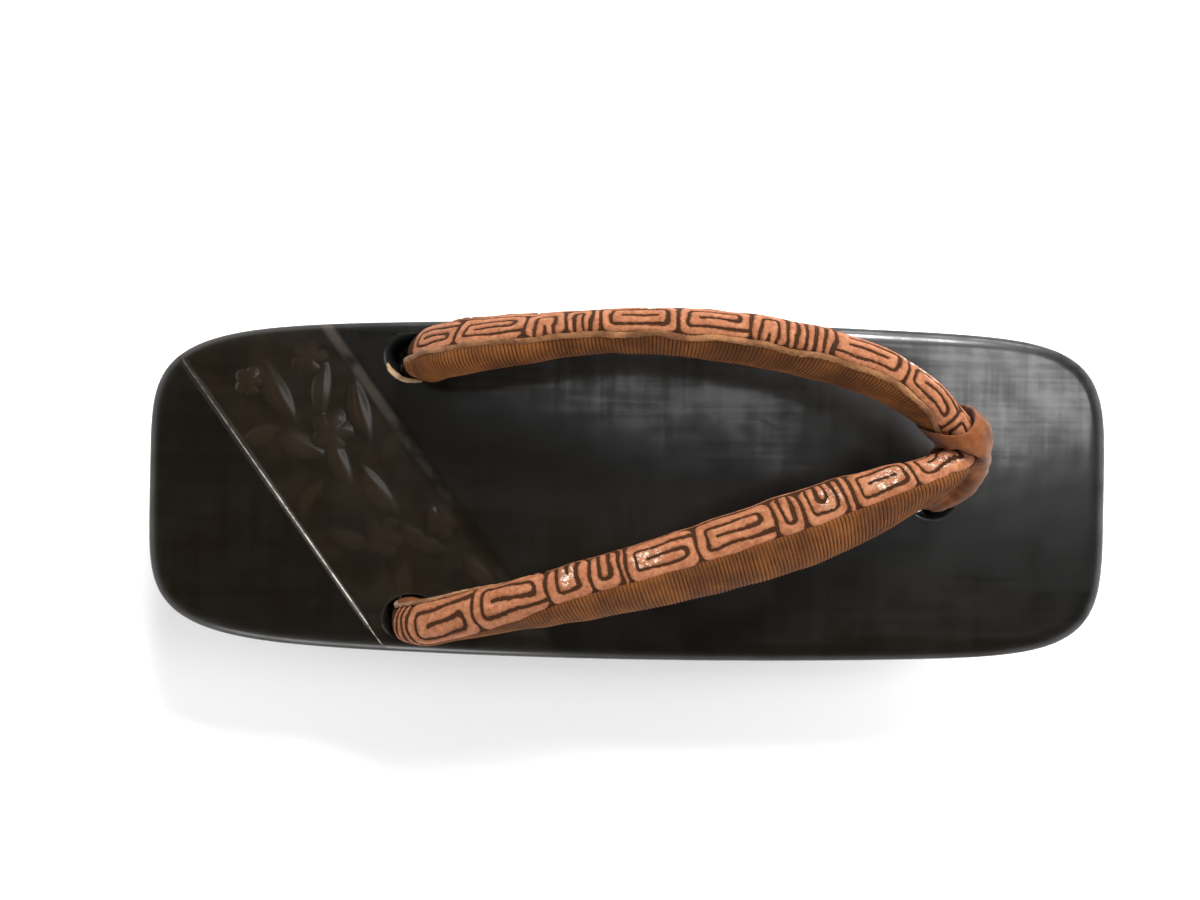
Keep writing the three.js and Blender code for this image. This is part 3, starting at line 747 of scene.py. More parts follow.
def deck_relief(x, y, settings):
    """Height added to the flat deck: the sunk band with its leaves, the incised line, one scratch, and
    the slow unevenness of hand-rubbed lacquer."""
    band = inside_band(x, y)
    carving = carving_heights(x, y)
    groove = np.exp(-((beyond_line(x, y, BAND_GROOVE) / 0.30) ** 2)) * deck_weight(x, y)
    groove = groove * (1.0 - 0.92 * smoothstep(-6.0, 12.0, y))
    east, north = x - SCRATCH["x"], y - SCRATCH["y"]
    along, off = east * SCRATCH["c"] - north * SCRATCH["s"], east * SCRATCH["s"] + north * SCRATCH["c"]
    scratch = np.exp(-((along / SCRATCH["length"]) ** 2) - ((off / SCRATCH["width"]) ** 2))
    carving = carving * deck_weight(x, y) * (0.35 + 0.65 * smoothstep(-14.0, 10.0, y))
    sunk = settings.band_depth / MM * band * (carving * 0.85 - 1.0) * deck_weight(x, y, 5.0)
    uneven = 0.035 * ripple(x, y, 46.0, 3) + 0.008 * ripple(x, y, 11.0, 4)
    cut = settings.groove_depth / MM * groove
    return sunk - cut - SCRATCH["depth"] * scratch + uneven * deck_weight(x, y)


def deck_quarters(settings):
    """The outline of the -Y side from the heel's tip to the toe's, cut where it turns through 45
    degrees: half the heel's end, the long side and half the toe's end, each as even points with the
    normals that point into the deck. The long side is closer-stepped across the carved band."""
    side = np.linspace(1.0, -1.0, 20001)
    x = -np.sign(side) * HALF_LENGTH * (1 - (1 - np.abs(side)) ** 5)
    y = -half_width(np.clip(x, -HALF_LENGTH, HALF_LENGTH))
    travelled = distance_along(np.stack([x, y], axis=-1))
    tangent = unit(np.stack([np.gradient(x), np.gradient(y)], axis=-1))
    heel_corner = travelled[np.argmax((tangent[:, 0] > 0.707) & (travelled > 5.0))]
    toe_corner = travelled[len(x) - 1 - np.argmax(tangent[::-1, 0] > 0.707)]
    close = 1.0 + 1.0 * smoothstep(-108, -100, x) * smoothstep(-6, -14, x)
    stepped = np.r_[0.0, np.cumsum(np.diff(travelled) * close[1:])]
    ends = np.interp([heel_corner, toe_corner], travelled, stepped)
    spots = (
        np.linspace(0.0, heel_corner, settings.end_columns // 2 + 1),
        np.interp(np.linspace(*ends, settings.side_columns + 1), stepped, travelled),
        np.linspace(toe_corner, travelled[-1], settings.end_columns // 2 + 1),
    )
    parts = []
    for spot in spots:
        plan = np.stack([np.interp(spot, travelled, x), np.interp(spot, travelled, y)], axis=-1)
        way = unit(np.stack([np.interp(spot, travelled, tangent[:, k]) for k in (0, 1)], axis=-1))
        parts.append((plan, np.stack([-way[:, 1], way[:, 0]], axis=-1)))
    heel, toe = parts[0], parts[2]
    heel[0][0, 1] = toe[0][-1, 1] = 0.0
    heel[1][0], toe[1][-1] = (1.0, 0.0), (-1.0, 0.0)
    return parts


def four_sides(parts, inset):
    """The outline moved inwards: right and left sides run from heel to toe, the heel's and the toe's
    ends from -Y to +Y."""
    heel, right, toe = (plan + inward * inset for plan, inward in parts)
    mirror = np.array([1.0, -1.0])
    heel_end = np.concatenate([heel[::-1], heel[1:] * mirror])
    toe_end = np.concatenate([toe, toe[-2::-1] * mirror])
    return right, right * mirror, heel_end, toe_end


def filled(right, left, heel, toe):
    """A grid between four sides: the two ways of blending opposite sides, added, less the blend of the
    four corners. Shares follow the distance along the right side and along the heel."""
    u = distance_along(right)[:, None, None]
    v = distance_along(heel)[None, :, None]
    u, v = u / u.max(), v / v.max()
    sides = (1 - v) * right[:, None] + v * left[:, None]
    ends = (1 - u) * heel[None] + u * toe[None]
    corners = (1 - u) * ((1 - v) * right[0] + v * left[0]) + u * ((1 - v) * right[-1] + v * left[-1])
    return sides + ends - corners


def rim_of(grid):
    """The grid's border once round: right side, toe, left side backwards, heel backwards."""
    return np.concatenate([grid[:-1, 0], grid[-1, :-1], grid[:0:-1, -1], grid[0, :0:-1]])


def grid_faces(count):
    """Quads of a grid of vertex numbers."""
    corners = (count[:-1, :-1], count[1:, :-1], count[1:, 1:], count[:-1, 1:])
    return np.stack(corners, axis=-1).reshape(-1, 4)


def board_mesh(settings):
    """The board: a fine grid fills the deck, rings go down over the top's quarter round, the wall and
    the bottom's quarter round, and a grid three times as coarse fills the underside."""
    parts = deck_quarters(settings)
    top = DECK / MM
    deck = filled(*four_sides(parts, TOP_EDGE))
    deck = np.dstack([deck, top + deck_relief(deck[..., 0], deck[..., 1], settings)])
    high, low = np.linspace(0, np.pi / 2, 9)[1:], np.linspace(0, np.pi / 2, 6)
    insets = np.r_[TOP_EDGE * (1 - np.sin(high)), np.zeros(3), BOTTOM_EDGE * (1 - np.cos(low))]
    rings = []
    for number, inset in enumerate(insets):
        right, left, heel, toe = four_sides(parts, inset)
        ring = np.concatenate([right[:-1], toe[:-1], left[:0:-1], heel[:0:-1]])
        base = underside(ring[:, 0]) + BOTTOM_EDGE
        if number < len(high):
            height = np.full(len(ring), top - TOP_DROP * (1 - math.cos(high[number])))
        elif number < len(high) + 3:
            height = top - TOP_DROP + (base - top + TOP_DROP) * (number - len(high) + 1) / 4
        else:
            height = base - BOTTOM_EDGE * math.sin(low[number - len(high) - 3])
        rings.append(np.column_stack([ring, height]))
    below = filled(*(side[::3] for side in four_sides(parts, BOTTOM_EDGE + 1.6)))
    below = np.dstack([below, underside(below[..., 0])])
    points = np.concatenate([deck.reshape(-1, 3), *rings, below.reshape(-1, 3)])
    deck_count = np.arange(deck[..., 0].size).reshape(deck.shape[:2])
    around = len(rings[0])
    loops = [deck_count.size + around * k + np.arange(around) for k in range(len(rings))]
    loops.insert(0, rim_of(deck_count))
    walls = [np.stack([b, np.roll(b, -1), np.roll(a, -1), a], axis=-1) for a, b in zip(loops, loops[1:])]
    first = deck_count.size + around * len(rings)
    below_count = first + np.arange(below[..., 0].size).reshape(below.shape[:2])
    fine, coarse = loops[-1], rim_of(below_count)
    starts = np.arange(0, around, 3)
    steps = np.stack([fine[starts], fine[starts + 1], fine[starts + 2], fine[(starts + 3) % around]], axis=-1)
    joint = np.column_stack([steps[:, ::-1], coarse, np.roll(coarse, -1)])
    faces = [*grid_faces(deck_count).tolist(), *np.concatenate(walls).tolist(), *joint.tolist()]
    faces += grid_faces(below_count)[:, ::-1].tolist()
    return new_mesh("board", points * MM, faces)


def tooth_mesh(start, stop):
    """A tooth as stacked plan loops, from the worn edge at the floor up through the fillet into the
    board: two long faces, and two ends that follow the deck's outline."""
    top = DECK / MM - BOARD_THICKNESS
    edge = np.linspace(0, np.pi / 2, 5)
    curl = np.linspace(0, np.pi / 2, 9)
    low = TOOTH["edge"] * (1 - np.cos(edge))
    fillet_foot = top - TOOTH["fillet"]
    wall = np.linspace(TOOTH["edge"], fillet_foot, 7)[1:-1]
    heights = np.r_[low, wall, fillet_foot + TOOTH["fillet"] * np.sin(curl), top + 3.0]
    spread = np.interp(heights, [0, fillet_foot], [0, TOOTH["draft"]])
    spread[: len(edge)] -= TOOTH["edge"] * (1 - np.sin(edge))
    spread[len(edge) + len(wall) : -1] += TOOTH["fillet"] * (1 - np.cos(curl))
    spread[-1] += TOOTH["fillet"]
    inset = np.interp(heights, [0, top], [TOOTH["inset_floor"], TOOTH["inset_board"]])
    inset[: len(edge)] += TOOTH["edge"] * (1 - np.sin(edge))
    x = np.linspace(0, 1, 41)
    x = x - np.sin(2 * np.pi * x) / (2 * np.pi) * 0.7
    stations = (start - spread)[:, None] + (stop - start + 2 * spread)[:, None] * x
    corner = TOOTH["corner"]
    nearest = np.minimum(stations - stations[:, :1], stations[:, -1:] - stations)
    cut = corner - np.sqrt(np.clip(corner**2 - np.clip(corner - nearest, 0, corner) ** 2, 0, None))
    sides = half_width(stations) - inset[:, None] - cut
    share = np.linspace(0, 1, 61)[1:-1]
    z = np.broadcast_to(heights[:, None], stations.shape)
    right = np.dstack([stations, -sides, z])
    left = np.dstack([stations, sides, z])[:, ::-1]
    front = right[:, -1:] + (left[:, :1] - right[:, -1:]) * share[None, :, None]
    back = left[:, -1:] + (right[:, :1] - left[:, -1:]) * share[None, :, None]
    return closed_tube("tooth", np.concatenate([right, front, left, back], axis=1))


def hole_cutter(x, y, radius_x, radius_y):
    """A stack of ellipses through the board, flared by a quarter round at the deck and underneath."""
    top = DECK / MM
    base = float(underside(np.array([x]))[0])
    turn = np.linspace(0, np.pi / 2, 7)
    flare = HOLE_ROUND * (1 - np.sin(turn))
    lift = HOLE_ROUND * (1 - np.cos(turn))
    heights = np.r_[base - 1.2, base + lift, (base + top) / 2, top - lift[::-1], top + 1.2]
    grown = np.r_[flare[0], flare, 0.0, flare[::-1], flare[0]]
    angle = full_turn(96)[None, :]
    chipped = 0.12 * ripple(angle * 6.0, heights[:, None], 9.0, int(x + 200 + y)) * (grown[:, None] > 0)
    ring_x = x + (radius_x + grown[:, None] + chipped) * np.cos(angle)
    ring_y = y + (radius_y + grown[:, None] + chipped) * np.sin(angle)
    z = np.broadcast_to(heights[:, None], ring_x.shape)
    return closed_tube("hole", np.stack([ring_x, ring_y, z], axis=-1))


def combine(piece, mesh, operation):
    """Joins a mesh to the piece, or cuts the piece with it."""
    tool = linked("tool", mesh)
    modifier = piece.modifiers.new("combine", "BOOLEAN")
    modifier.operation = operation
    modifier.solver = "MANIFOLD"
    modifier.object = tool
    with bpy.context.temp_override(object=piece, active_object=piece, selected_objects=[piece]):
        bpy.ops.object.modifier_apply(modifier=modifier.name)
    bpy.data.objects.remove(tool)
    bpy.data.meshes.remove(mesh)


def around_hole(x, y, hole, wider=0.0):
    """Distance from a hole's middle as a share of its radius made `wider`, so one on its wall."""
    hole_x, hole_y, radius_x, radius_y = hole
    return np.hypot((x - hole_x) / (radius_x + wider), (y - hole_y) / (radius_y + wider))


def paint_sole(mesh):
    """Keeps the finish's masks on the mesh: the carved band, its relief, the distance from the incised
    line, the deck inside its edge, where the wood is bare, and the insides of the holes."""
    x, y, z = corners_of(mesh).T / MM
    on_deck = smoothstep(DECK / MM - 2.0, DECK / MM - 0.9, z)
    carving = carving_heights(x, y)
    band = inside_band(x, y) * on_deck
    store(mesh, "band", band)
    store(mesh, "line_mm", beyond_line(x, y, BAND_GROOVE))
    store(mesh, "deck", on_deck * smoothstep(1.0, 3.0, deck_margin(x, y)))
    store(mesh, "relief", carving * band)
    bare = smoothstep(1.5, 0.5, z)
    turn = np.degrees(np.arctan2(y - HOLES[0][1], x - HOLES[0][0]))
    near = smoothstep(1.30, 1.08, around_hole(x, y, HOLES[0])) * smoothstep(DECK / MM - 5.0, DECK / MM - 1.5, z)
    facing = np.exp(-(((turn - CHIP["turn"]) / CHIP["spread"]) ** 2))
    store(mesh, "bare", np.maximum(bare, near * facing))
    hollow = np.zeros_like(x)
    for hole in HOLES:
        hollow = np.maximum(hollow, smoothstep(1.06, 0.99, around_hole(x, y, hole, 0.25)))
    store(mesh, "hollow", hollow)


# ---- the strap ----------------------------------------------------------------------------------


def seam_span(values):
    """Directions of the two seams in radians: the piped one and, going round the print, the plain one."""
    return np.radians(values[:, 6:7]), np.radians(values[:, 7:8])


def bent(chain):
    """A stroke with each corner cut by a short quadratic curve, as columns along, up and half width."""
    chain = np.array(chain)
    pieces = [chain[:1]]
    for before, corner, after in zip(chain, chain[1:], chain[2:]):
        reach_in, reach_out = before - corner, after - corner
        entry = corner + reach_in * min(0.5, STROKE_BEND / np.hypot(*reach_in[:2]))
        leave = corner + reach_out * min(0.5, STROKE_BEND / np.hypot(*reach_out[:2]))
        share = np.linspace(0, 1, 4)[:, None]
        pieces.append((1 - share) ** 2 * entry + 2 * share * (1 - share) * corner + share**2 * leave)
    return np.concatenate([*pieces, chain[-1:]])


def to_strokes(along, up, strokes):
    """Distance to the edge of the nearest dark stroke, negative inside one."""
    nearest = np.full(along.shape, 99.0)
    for stroke in strokes:
        line = bent(stroke)
        for (x0, y0, w0), (x1, y1, w1) in zip(line, line[1:]):
            dx, dy = x1 - x0, y1 - y0
            share = np.clip(((along - x0) * dx + (up - y0) * dy) / (dx * dx + dy * dy + 1e-9), 0, 1)
            away = np.hypot(along - x0 - share * dx, up - y0 - share * dy) - w0 - share * (w1 - w0)
            nearest = np.minimum(nearest, away)
    return nearest


def row_field(along, up, letters, uneven):
    """How deep a point lies inside the copper of one row of blocks, negative in the dark: the least of
    its depth in its block's rounded outline and its distance from the block's dark strokes. The row of
    letters repeats for as long as the strap runs."""
    field = np.full(along.shape, -1.0)
    start = 0.0
    while start < along.max():
        for letter, length in letters:
            drawn, strokes = MOTIFS[letter]
            here = (along >= start) & (along < start + length)
            start += length
            if not here.any():
                continue
            a, b = along[here] - start + length, up[here]
            corner = min(BLOCK_CORNER, length / 2 - BLOCK_GAP)
            edge_a = np.abs(a - length / 2) - (length / 2 - BLOCK_GAP - corner)
            edge_b = np.abs(b - BLOCK_HEIGHT / 2) - (BLOCK_HEIGHT / 2 - corner)
            beyond = np.hypot(np.maximum(edge_a, 0), np.maximum(edge_b, 0))
            inside = corner - beyond - np.minimum(np.maximum(edge_a, edge_b), 0)
            field[here] = np.minimum(inside, to_strokes(a * drawn / length, b, strokes)) + uneven[here]
    return field


def print_field(distance, across, width, fold):
    """The print over the whole strap, in millimetres inside the copper. One row of blocks keeps to the
    piped seam and reads towards the fold, the other keeps to the plain seam and reads back from the
    far end. A plain stripe fills what is left between them, each arm's outer row wins where they meet,
    and both are warped as if drawn by hand."""
    wander = 0.16 * ripple(distance, across, 5.5, 11)
    drift = 0.16 * ripple(distance, across, 6.5, 12)
    uneven = 0.05 * ripple(distance, across, 2.2, 13) + 0.03 * ripple(distance, across, 0.9, 14)
    total = distance[-1, 0]
    from_piped = (across + drift - PIPED_MARGIN) * PIPED_SQUEEZE
    crowded = smoothstep(*CROWDED, width) * (distance > fold)
    from_plain = (width - across) * (1 + crowded * (BLOCK_HEIGHT / width - 1)) + drift - PLAIN_MARGIN
    piped = row_field(distance + wander - PIPED_START, from_piped, PIPED_ROW, uneven)
    plain = row_field(total - distance + wander - PLAIN_START, from_plain, PLAIN_ROW, uneven)
    pitch = BLOCK_HEIGHT + ROW_GAP
    stripe = np.minimum(from_piped, from_plain) - pitch - 0.05
    first_arm = np.where(from_piped < pitch, piped, np.where(from_plain < pitch, plain, stripe))
    second_arm = np.where(from_plain < pitch, plain, np.where(from_piped < pitch, piped, stripe))
    foil = np.zeros(distance.shape)
    for from_end, from_seam, long, broad in FOIL:
        off = ((total - distance - from_end) / long) ** 2 + ((width - across - from_seam) / broad) ** 2
        foil = np.maximum(foil, np.exp(-off))
    return np.where(distance < fold, first_arm, second_arm), foil


def strap_mesh(settings):
    """The stuffed tube: round each ring from the piped seam over the print to the plain seam in fine
    steps, then back under the lining in coarse ones. The copper stands proud by the print's relief."""
    place, distance = even_places(STRAP, *STRAP_ENDS, settings.strap_step / MM)
    values = through_rows(STRAP, place)
    piped, plain = seam_span(values)
    printed = np.linspace(0, 1, settings.print_columns)[None, :]
    lined = np.linspace(0, 1, 20)[None, 1:-1]
    over, under = (plain - piped) * printed, (piped - 2 * np.pi - plain) * lined
    angle = np.concatenate([piped + over, plain + under], axis=1)
    distances = np.broadcast_to(distance[:, None], angle.shape)
    flat = around_path(STRAP, place[:, None], angle, 0.0)
    steps = np.linalg.norm(np.diff(flat, axis=1), axis=-1)
    across = np.concatenate([np.zeros((len(place), 1)), np.cumsum(steps, axis=1)], axis=1)
    width = across[:, settings.print_columns - 1 : settings.print_columns]
    fold = distance[np.argmax(values[:, 0])]
    field, foil = print_field(distances, across, width, fold)
    field[:, settings.print_columns :] = -1.0
    raised = settings.print_relief / MM * smoothstep(-0.12, 0.22, field)
    puckers = 0.11 * ripple(distances, across, 17.0, 21) + 0.05 * ripple(distances, across, 6.0, 22)
    growth = raised + puckers - CLOTH_INSET
    mesh = closed_tube("strap_cloth", around_path(STRAP, place[:, None], angle, growth))
    store(mesh, "print_mm", field)
    store(mesh, "foil", foil)
    store(mesh, "across_mm", across)
    store(mesh, "along_mm", distances)
    return mesh


def lining_mesh(settings):
    """The lining: a shell laid over the tube from the plain seam to the piped one. Its outer face has
    round ribs across the strap at an even pitch, its edges curl under, and its inner face is plain."""
    pitch = settings.rib_pitch / MM
    place, distance = even_places(STRAP, *STRAP_ENDS, pitch / 5)
    piped, plain = seam_span(through_rows(STRAP, place))
    outer = np.linspace(0.0, 1.0, 30)[None, :]
    inner = np.linspace(1.0, 0.0, 10)[None, :]
    share = np.concatenate([outer, inner], axis=1)
    tuck = np.radians(3.0)
    angle = (plain + tuck) + (piped - 2 * np.pi - plain - 2 * tuck) * share
    lean = 0.10 * ripple(distance[:, None], share * 12, 13.0, 31)
    phase = 2 * np.pi * (distance[:, None] + lean) / pitch
    rib = np.broadcast_to(np.abs(np.sin(phase / 2)) ** 0.8, angle.shape)
    edge = np.sqrt(np.clip(1 - (2 * share - 1) ** 6, 0, 1))
    is_outer = np.arange(share.shape[1])[None, :] < outer.shape[1]
    depth = settings.rib_depth / MM
    ragged = 0.10 * ripple(distance[:, None] * 3.0, share * 20, 3.0, 33)
    proud = (0.42 + depth * (rib - 0.5) + ragged * (1 - edge)) * edge - 0.12
    growth = np.where(is_outer, proud + 0.12 * ripple(distance[:, None], share * 15, 14.0, 32), -0.5)
    mesh = closed_tube("strap_lining", around_path(STRAP, place[:, None], angle, growth))
    store(mesh, "rib", np.where(is_outer, rib, 0.0))
    return mesh


def bead(name, middles, axis_a, axis_b, radii_a, radii_b, around=14):
    """A tube along middle points: at each, an ellipse in the plane of its two axes."""
    angle = full_turn(around)[None, :, None]
    swing = np.cos(angle) * axis_a[:, None] * radii_a[..., None]
    swing = swing + np.sin(angle) * axis_b[:, None] * radii_b[..., None]
    return closed_tube(name, middles[:, None] + swing)


def piping_mesh(settings):
    """The napped edge along the piped seam: a flattened bead that wanders and swells a little."""
    place, distance = even_places(STRAP, *STRAP_ENDS, PIPING["step"])
    values = through_rows(STRAP, place)
    seam = np.radians(values[:, 6]) + 0.035 * ripple(distance, 0.0, 11.0, 41)
    middles = around_path(STRAP, place, seam, PIPING["stand"])
    along, _, _ = path_axes(STRAP, place)
    outward = unit(middles - centre_line(values))
    outward = unit(outward - along * np.sum(outward * along, axis=-1, keepdims=True))
    sideways = np.cross(along, outward)
    spots = np.linspace(0, 14, 14)[None, :]
    slow = 0.17 * ripple(distance[:, None] * 2.0, spots, 3.0, 42)
    fast = 0.16 * ripple(distance[:, None], spots, 1.1, 43)
    broad = settings.piping_width / MM / 2 * (1 + slow + fast)
    return bead("strap_piping", middles, sideways, outward, broad, PIPING["flatness"] * broad)


# ---- the toe loop and the knots -----------------------------------------------------------------


def wrap_mesh(settings):
    """The velvet round the fold: a ring swept about the strap whose oval section spans a stretch of the
    strap and stands off its surface. It spreads and thins on the inside of the bend."""
    turn = full_turn(150)[:, None]
    spot = full_turn(48)[None, :]
    inner = smoothstep(-0.2, 1.0, np.sin(turn))
    half_span = WRAP_SPAN_OUTSIDE + (WRAP_SPAN_INSIDE - WRAP_SPAN_OUTSIDE) * inner
    thickness = settings.loop_thickness / MM * (1 - 0.45 * inner)
    gather = 0.10 * np.cos(3 * spot + 1.0) * np.sin(spot) + 0.05 * ripple(turn * 9, spot * 3, 5.0, 51)
    across = np.sign(np.cos(spot)) * np.abs(np.cos(spot)) ** 0.8
    out = 0.5 + 0.5 * np.sin(spot)
    place = WRAP_MIDDLE + 0.10 * np.sin(turn) + half_span * across
    growth = WRAP_GAP + thickness * (out + gather * out)
    return closed_tube("wrap", around_path(STRAP, place, turn, growth), close_along=True)


def stem_mesh():
    """The loop's two ends drawn down together into the front hole: a tube through the stem's rows with
    a crease on each side between the two folds."""
    place, distance = even_places(STEM, 0.0, len(STEM) - 1.0, STEM_STEP)
    angle = full_turn(64)[None, :]
    twist = angle + 0.35 + distance[:, None] * 0.035
    crease = -0.55 * np.exp(-((np.sin(twist) / 0.22) ** 2))
    soft = 0.08 * ripple(distance[:, None], angle * 4, 5.0, 52)
    return closed_tube("stem", around_path(STEM, place[:, None], angle, crease + soft))


def cord_mesh(name, points, radius, twist_pitch=3.2, close_along=False):
    """A two-ply cord along points: a round section with two lobes that turn with the distance."""
    if close_along:
        tangent = unit(np.roll(points, -1, axis=0) - np.roll(points, 1, axis=0))
    else:
        tangent = unit(np.gradient(points, axis=0))
    reference = np.array([0.31, 0.2, 0.93])
    axis_a = unit(np.cross(tangent, reference))
    axis_b = np.cross(tangent, axis_a)
    travelled = distance_along(points)
    spots = full_turn(20)[None, :]
    turns = np.round(travelled[-1] / twist_pitch) / max(travelled[-1], 1e-6)
    lobes = radius * (1 + 0.10 * np.abs(np.cos(spots - 2 * np.pi * travelled[:, None] * turns / 2)) - 0.05)
    swing = np.cos(spots)[..., None] * axis_a[:, None] + np.sin(spots)[..., None] * axis_b[:, None]
    return closed_tube(name, points[:, None] + lobes[..., None] * swing, close_along)


def knot_mesh(name, x, y, height, settings):
    """An overhand knot: a closed trefoil of cord, squashed against the board, with the strap's tail
    coming down into it and two short ends hanging out."""
    cord = settings.cord_radius / MM
    turn = full_turn(150)
    sway = np.sin(turn) + 2 * np.sin(2 * turn), np.cos(turn) - 2 * np.cos(2 * turn), -np.sin(3 * turn)
    middle = np.array([x, y, height])
    loop = middle + np.stack(sway, axis=-1) * np.array(KNOT_SPREAD)
    parts = [cord_mesh(name, loop, cord, close_along=True)]
    fall = np.linspace(0, 1, 24)[:, None]
    for side in (-1.0, 1.0):
        drop = np.hstack([side * (0.9 + 0.6 * np.sin(fall * np.pi)), 0.3 * side + 0 * fall, 8.5 - 9.5 * fall])
        tail = np.hstack([side * (0.6 + 2.6 * fall**0.8), side * 1.4 * fall, -0.5 - 3.6 * fall**1.4])
        parts.append(cord_mesh(name, middle + drop, cord * 0.9))
        parts.append(cord_mesh(name, middle + tail, cord * 0.9))
    return joined(name, parts)


# ---- what a user can change ---------------------------------------------------------------------


def colour_property(name, description, default):
    """A colour setting with an alpha of one."""
    return bpy.props.FloatVectorProperty(
        name=name, description=description, default=(*default, 1.0), size=4, subtype="COLOR", min=0, max=1
    )


def size_property(name, description, default):
    """A length setting, its default given in millimetres."""
    return bpy.props.FloatProperty(
        name=name, description=description, default=default * MM, unit="LENGTH", precision=5
    )


def count_property(name, description, default):
    """A number of steps."""
    return bpy.props.IntProperty(name=name, description=description, default=default)


class SoleSettings(bpy.types.PropertyGroup):
    """The wooden block's sizes and colours."""

    side_columns: count_property("Side Columns", "Steps along the deck", 405)
    end_columns: count_property("End Columns", "Steps across the deck", 150)
    band_depth: size_property("Band Depth", "How far the carved band is sunk", 0.55)
    groove_depth: size_property("Groove Depth", "Depth of the incised line", 0.32)
    lacquer: colour_property("Lacquer", "Black lacquer", (0.0020, 0.0018, 0.0014))
    lacquer_warm: colour_property("Warm Lacquer", "Browner cloud in the lacquer", (0.0046, 0.0031, 0.0014))
    band: colour_property("Band", "Thin brown lacquer over the carving", (0.0100, 0.0064, 0.0034))
    # Painted highlight: paler brown on the carving's raised tops.
    band_relief_highlight: colour_property("Band Relief", "Lacquer rubbed thin on the relief", (0.0155, 0.0098, 0.0052))
    # Painted highlight on the band's bevel.
    bevel: colour_property("Bevel", "Lacquer rubbed pale on the band's bevel", (0.036, 0.030, 0.025))
    # Painted glint along the incised line.
    line: colour_property("Incised Line", "Worn edges of the incised line", (0.42, 0.37, 0.30))
    wood: colour_property("Wood", "Bare pale wood", (0.52, 0.36, 0.22))
    wood_dark: colour_property("Wood Grain", "Darker grain of the bare wood", (0.33, 0.20, 0.11))
    soil: colour_property("Soil", "Dirt rubbed into the bare wood", (0.06, 0.045, 0.03))


class StrapSettings(bpy.types.PropertyGroup):
    """The strap's sizes and colours."""

    strap_step: size_property("Strap Step", "Distance between rings along the strap", 0.3)
    print_columns: count_property("Print Columns", "Points across the print", 72)
    print_relief: size_property("Print Relief", "How far the copper stands proud", 0.22)
    rib_pitch: size_property("Rib Pitch", "Distance between ribs of the lining", 0.76)
    rib_depth: size_property("Rib Depth", "Depth between ribs of the lining", 0.30)
    piping_width: size_property("Piping Width", "Width of the napped edge", 1.1)
    copper: colour_property("Copper", "Copper print", (0.218, 0.078, 0.034))
    copper_pale: colour_property("Pale Copper", "Paler blotches of the print", (0.33, 0.138, 0.070))
    # Rubbed copper, and the painted shade along the copper's edges.
    copper_worn_and_shaded: colour_property("Worn Copper", "Rubbed and shaded parts of the print", (0.115, 0.036, 0.013))
    foil: colour_property("Foil", "Crinkled foil on the print", (0.80, 0.56, 0.43))
    ground: colour_property("Ground", "Dark cloth between the copper", (0.026, 0.0098, 0.0036))
    # Painted highlight on the tops of the dark cloth's threads.
    ground_thread_highlight: colour_property("Ground Threads", "Tops of the dark cloth's threads", (0.062, 0.024, 0.009))
    lining: colour_property("Lining", "Ribbed lining", (0.070, 0.0215, 0.0040))
    lining_pale: colour_property("Pale Lining", "Worn ribs of the lining", (0.150, 0.051, 0.0115))
    # Painted shade between the lining's ribs.
    lining_groove_shade: colour_property("Dark Lining", "Lining between its ribs", (0.012, 0.0034, 0.0010))
    piping: colour_property("Piping", "Napped tan edge", (0.235, 0.105, 0.040))
    piping_dark: colour_property("Dark Piping", "Shaded nap of the edge", (0.092, 0.036, 0.012))


class LoopSettings(bpy.types.PropertyGroup):
    """The toe loop's and the knots' sizes and colours."""

    loop_thickness: size_property("Loop Thickness", "Thickness of the velvet round the fold", 2.1)
    cord_radius: size_property("Cord Radius", "Radius of the tails' cord", 1.75)
    velvet: colour_property("Velvet", "Velvet with the nap lit", (0.160, 0.0475, 0.0098))
    velvet_dark: colour_property("Dark Velvet", "Velvet with the nap turned away", (0.073, 0.0205, 0.0045))
    cord: colour_property("Cord", "Hemp cord of the tails", (0.36, 0.27, 0.17))
    cord_dark: colour_property("Dark Cord", "Soiled cord", (0.16, 0.11, 0.065))


class StageSettings(bpy.types.PropertyGroup):
    """The floor, camera and lights."""

    floor: colour_property("Floor", "Pale floor", (0.93, 0.93, 0.93))
    eye_height: size_property("Eye Height", "Camera's height above the deck", 206.04)
    eye_x: size_property("Eye X", "Camera's place along the sandal", -6.34)
    eye_y: size_property("Eye Y", "Camera's place across the sandal", 9.23)
    turn: bpy.props.FloatProperty(
        name="Turn", description="Camera's roll", default=math.radians(1.0), subtype="ANGLE"
    )
    lens: bpy.props.FloatProperty(name="Lens", description="Focal length in millimetres", default=27.0)
    world: colour_property("World", "Light from all round", (1.0, 1.0, 1.0))
    world_strength: bpy.props.FloatProperty(
        name="World Strength", description="Strength of that light", default=2.1
    )


# ---- operators ----------------------------------------------------------------------------------


class GETA_OT_sole(bpy.types.Operator):
    """Carve the lacquered block: board, teeth, holes and the band across the heel"""

    bl_idname = "geta.sole"
    bl_label = "Lacquered Block"

    def execute(self, context):
        settings = context.scene.geta_sole
        sole = linked("lacquered_block", board_mesh(settings))
        for start, stop in TEETH:
            combine(sole, tooth_mesh(start, stop), "UNION")
        for hole in HOLES:
            combine(sole, hole_cutter(*hole), "DIFFERENCE")
        mesh = sole.data
        bpy.data.objects.remove(sole)
        mesh.name = "lacquered_block"
        mesh.materials.clear()
        mesh.polygons.foreach_set("material_index", np.zeros(len(mesh.polygons), dtype=np.int32))
        paint_sole(mesh)
        place_piece(mesh, lacquer_material(settings), "sole", sharp=50.0)
        return {"FINISHED"}


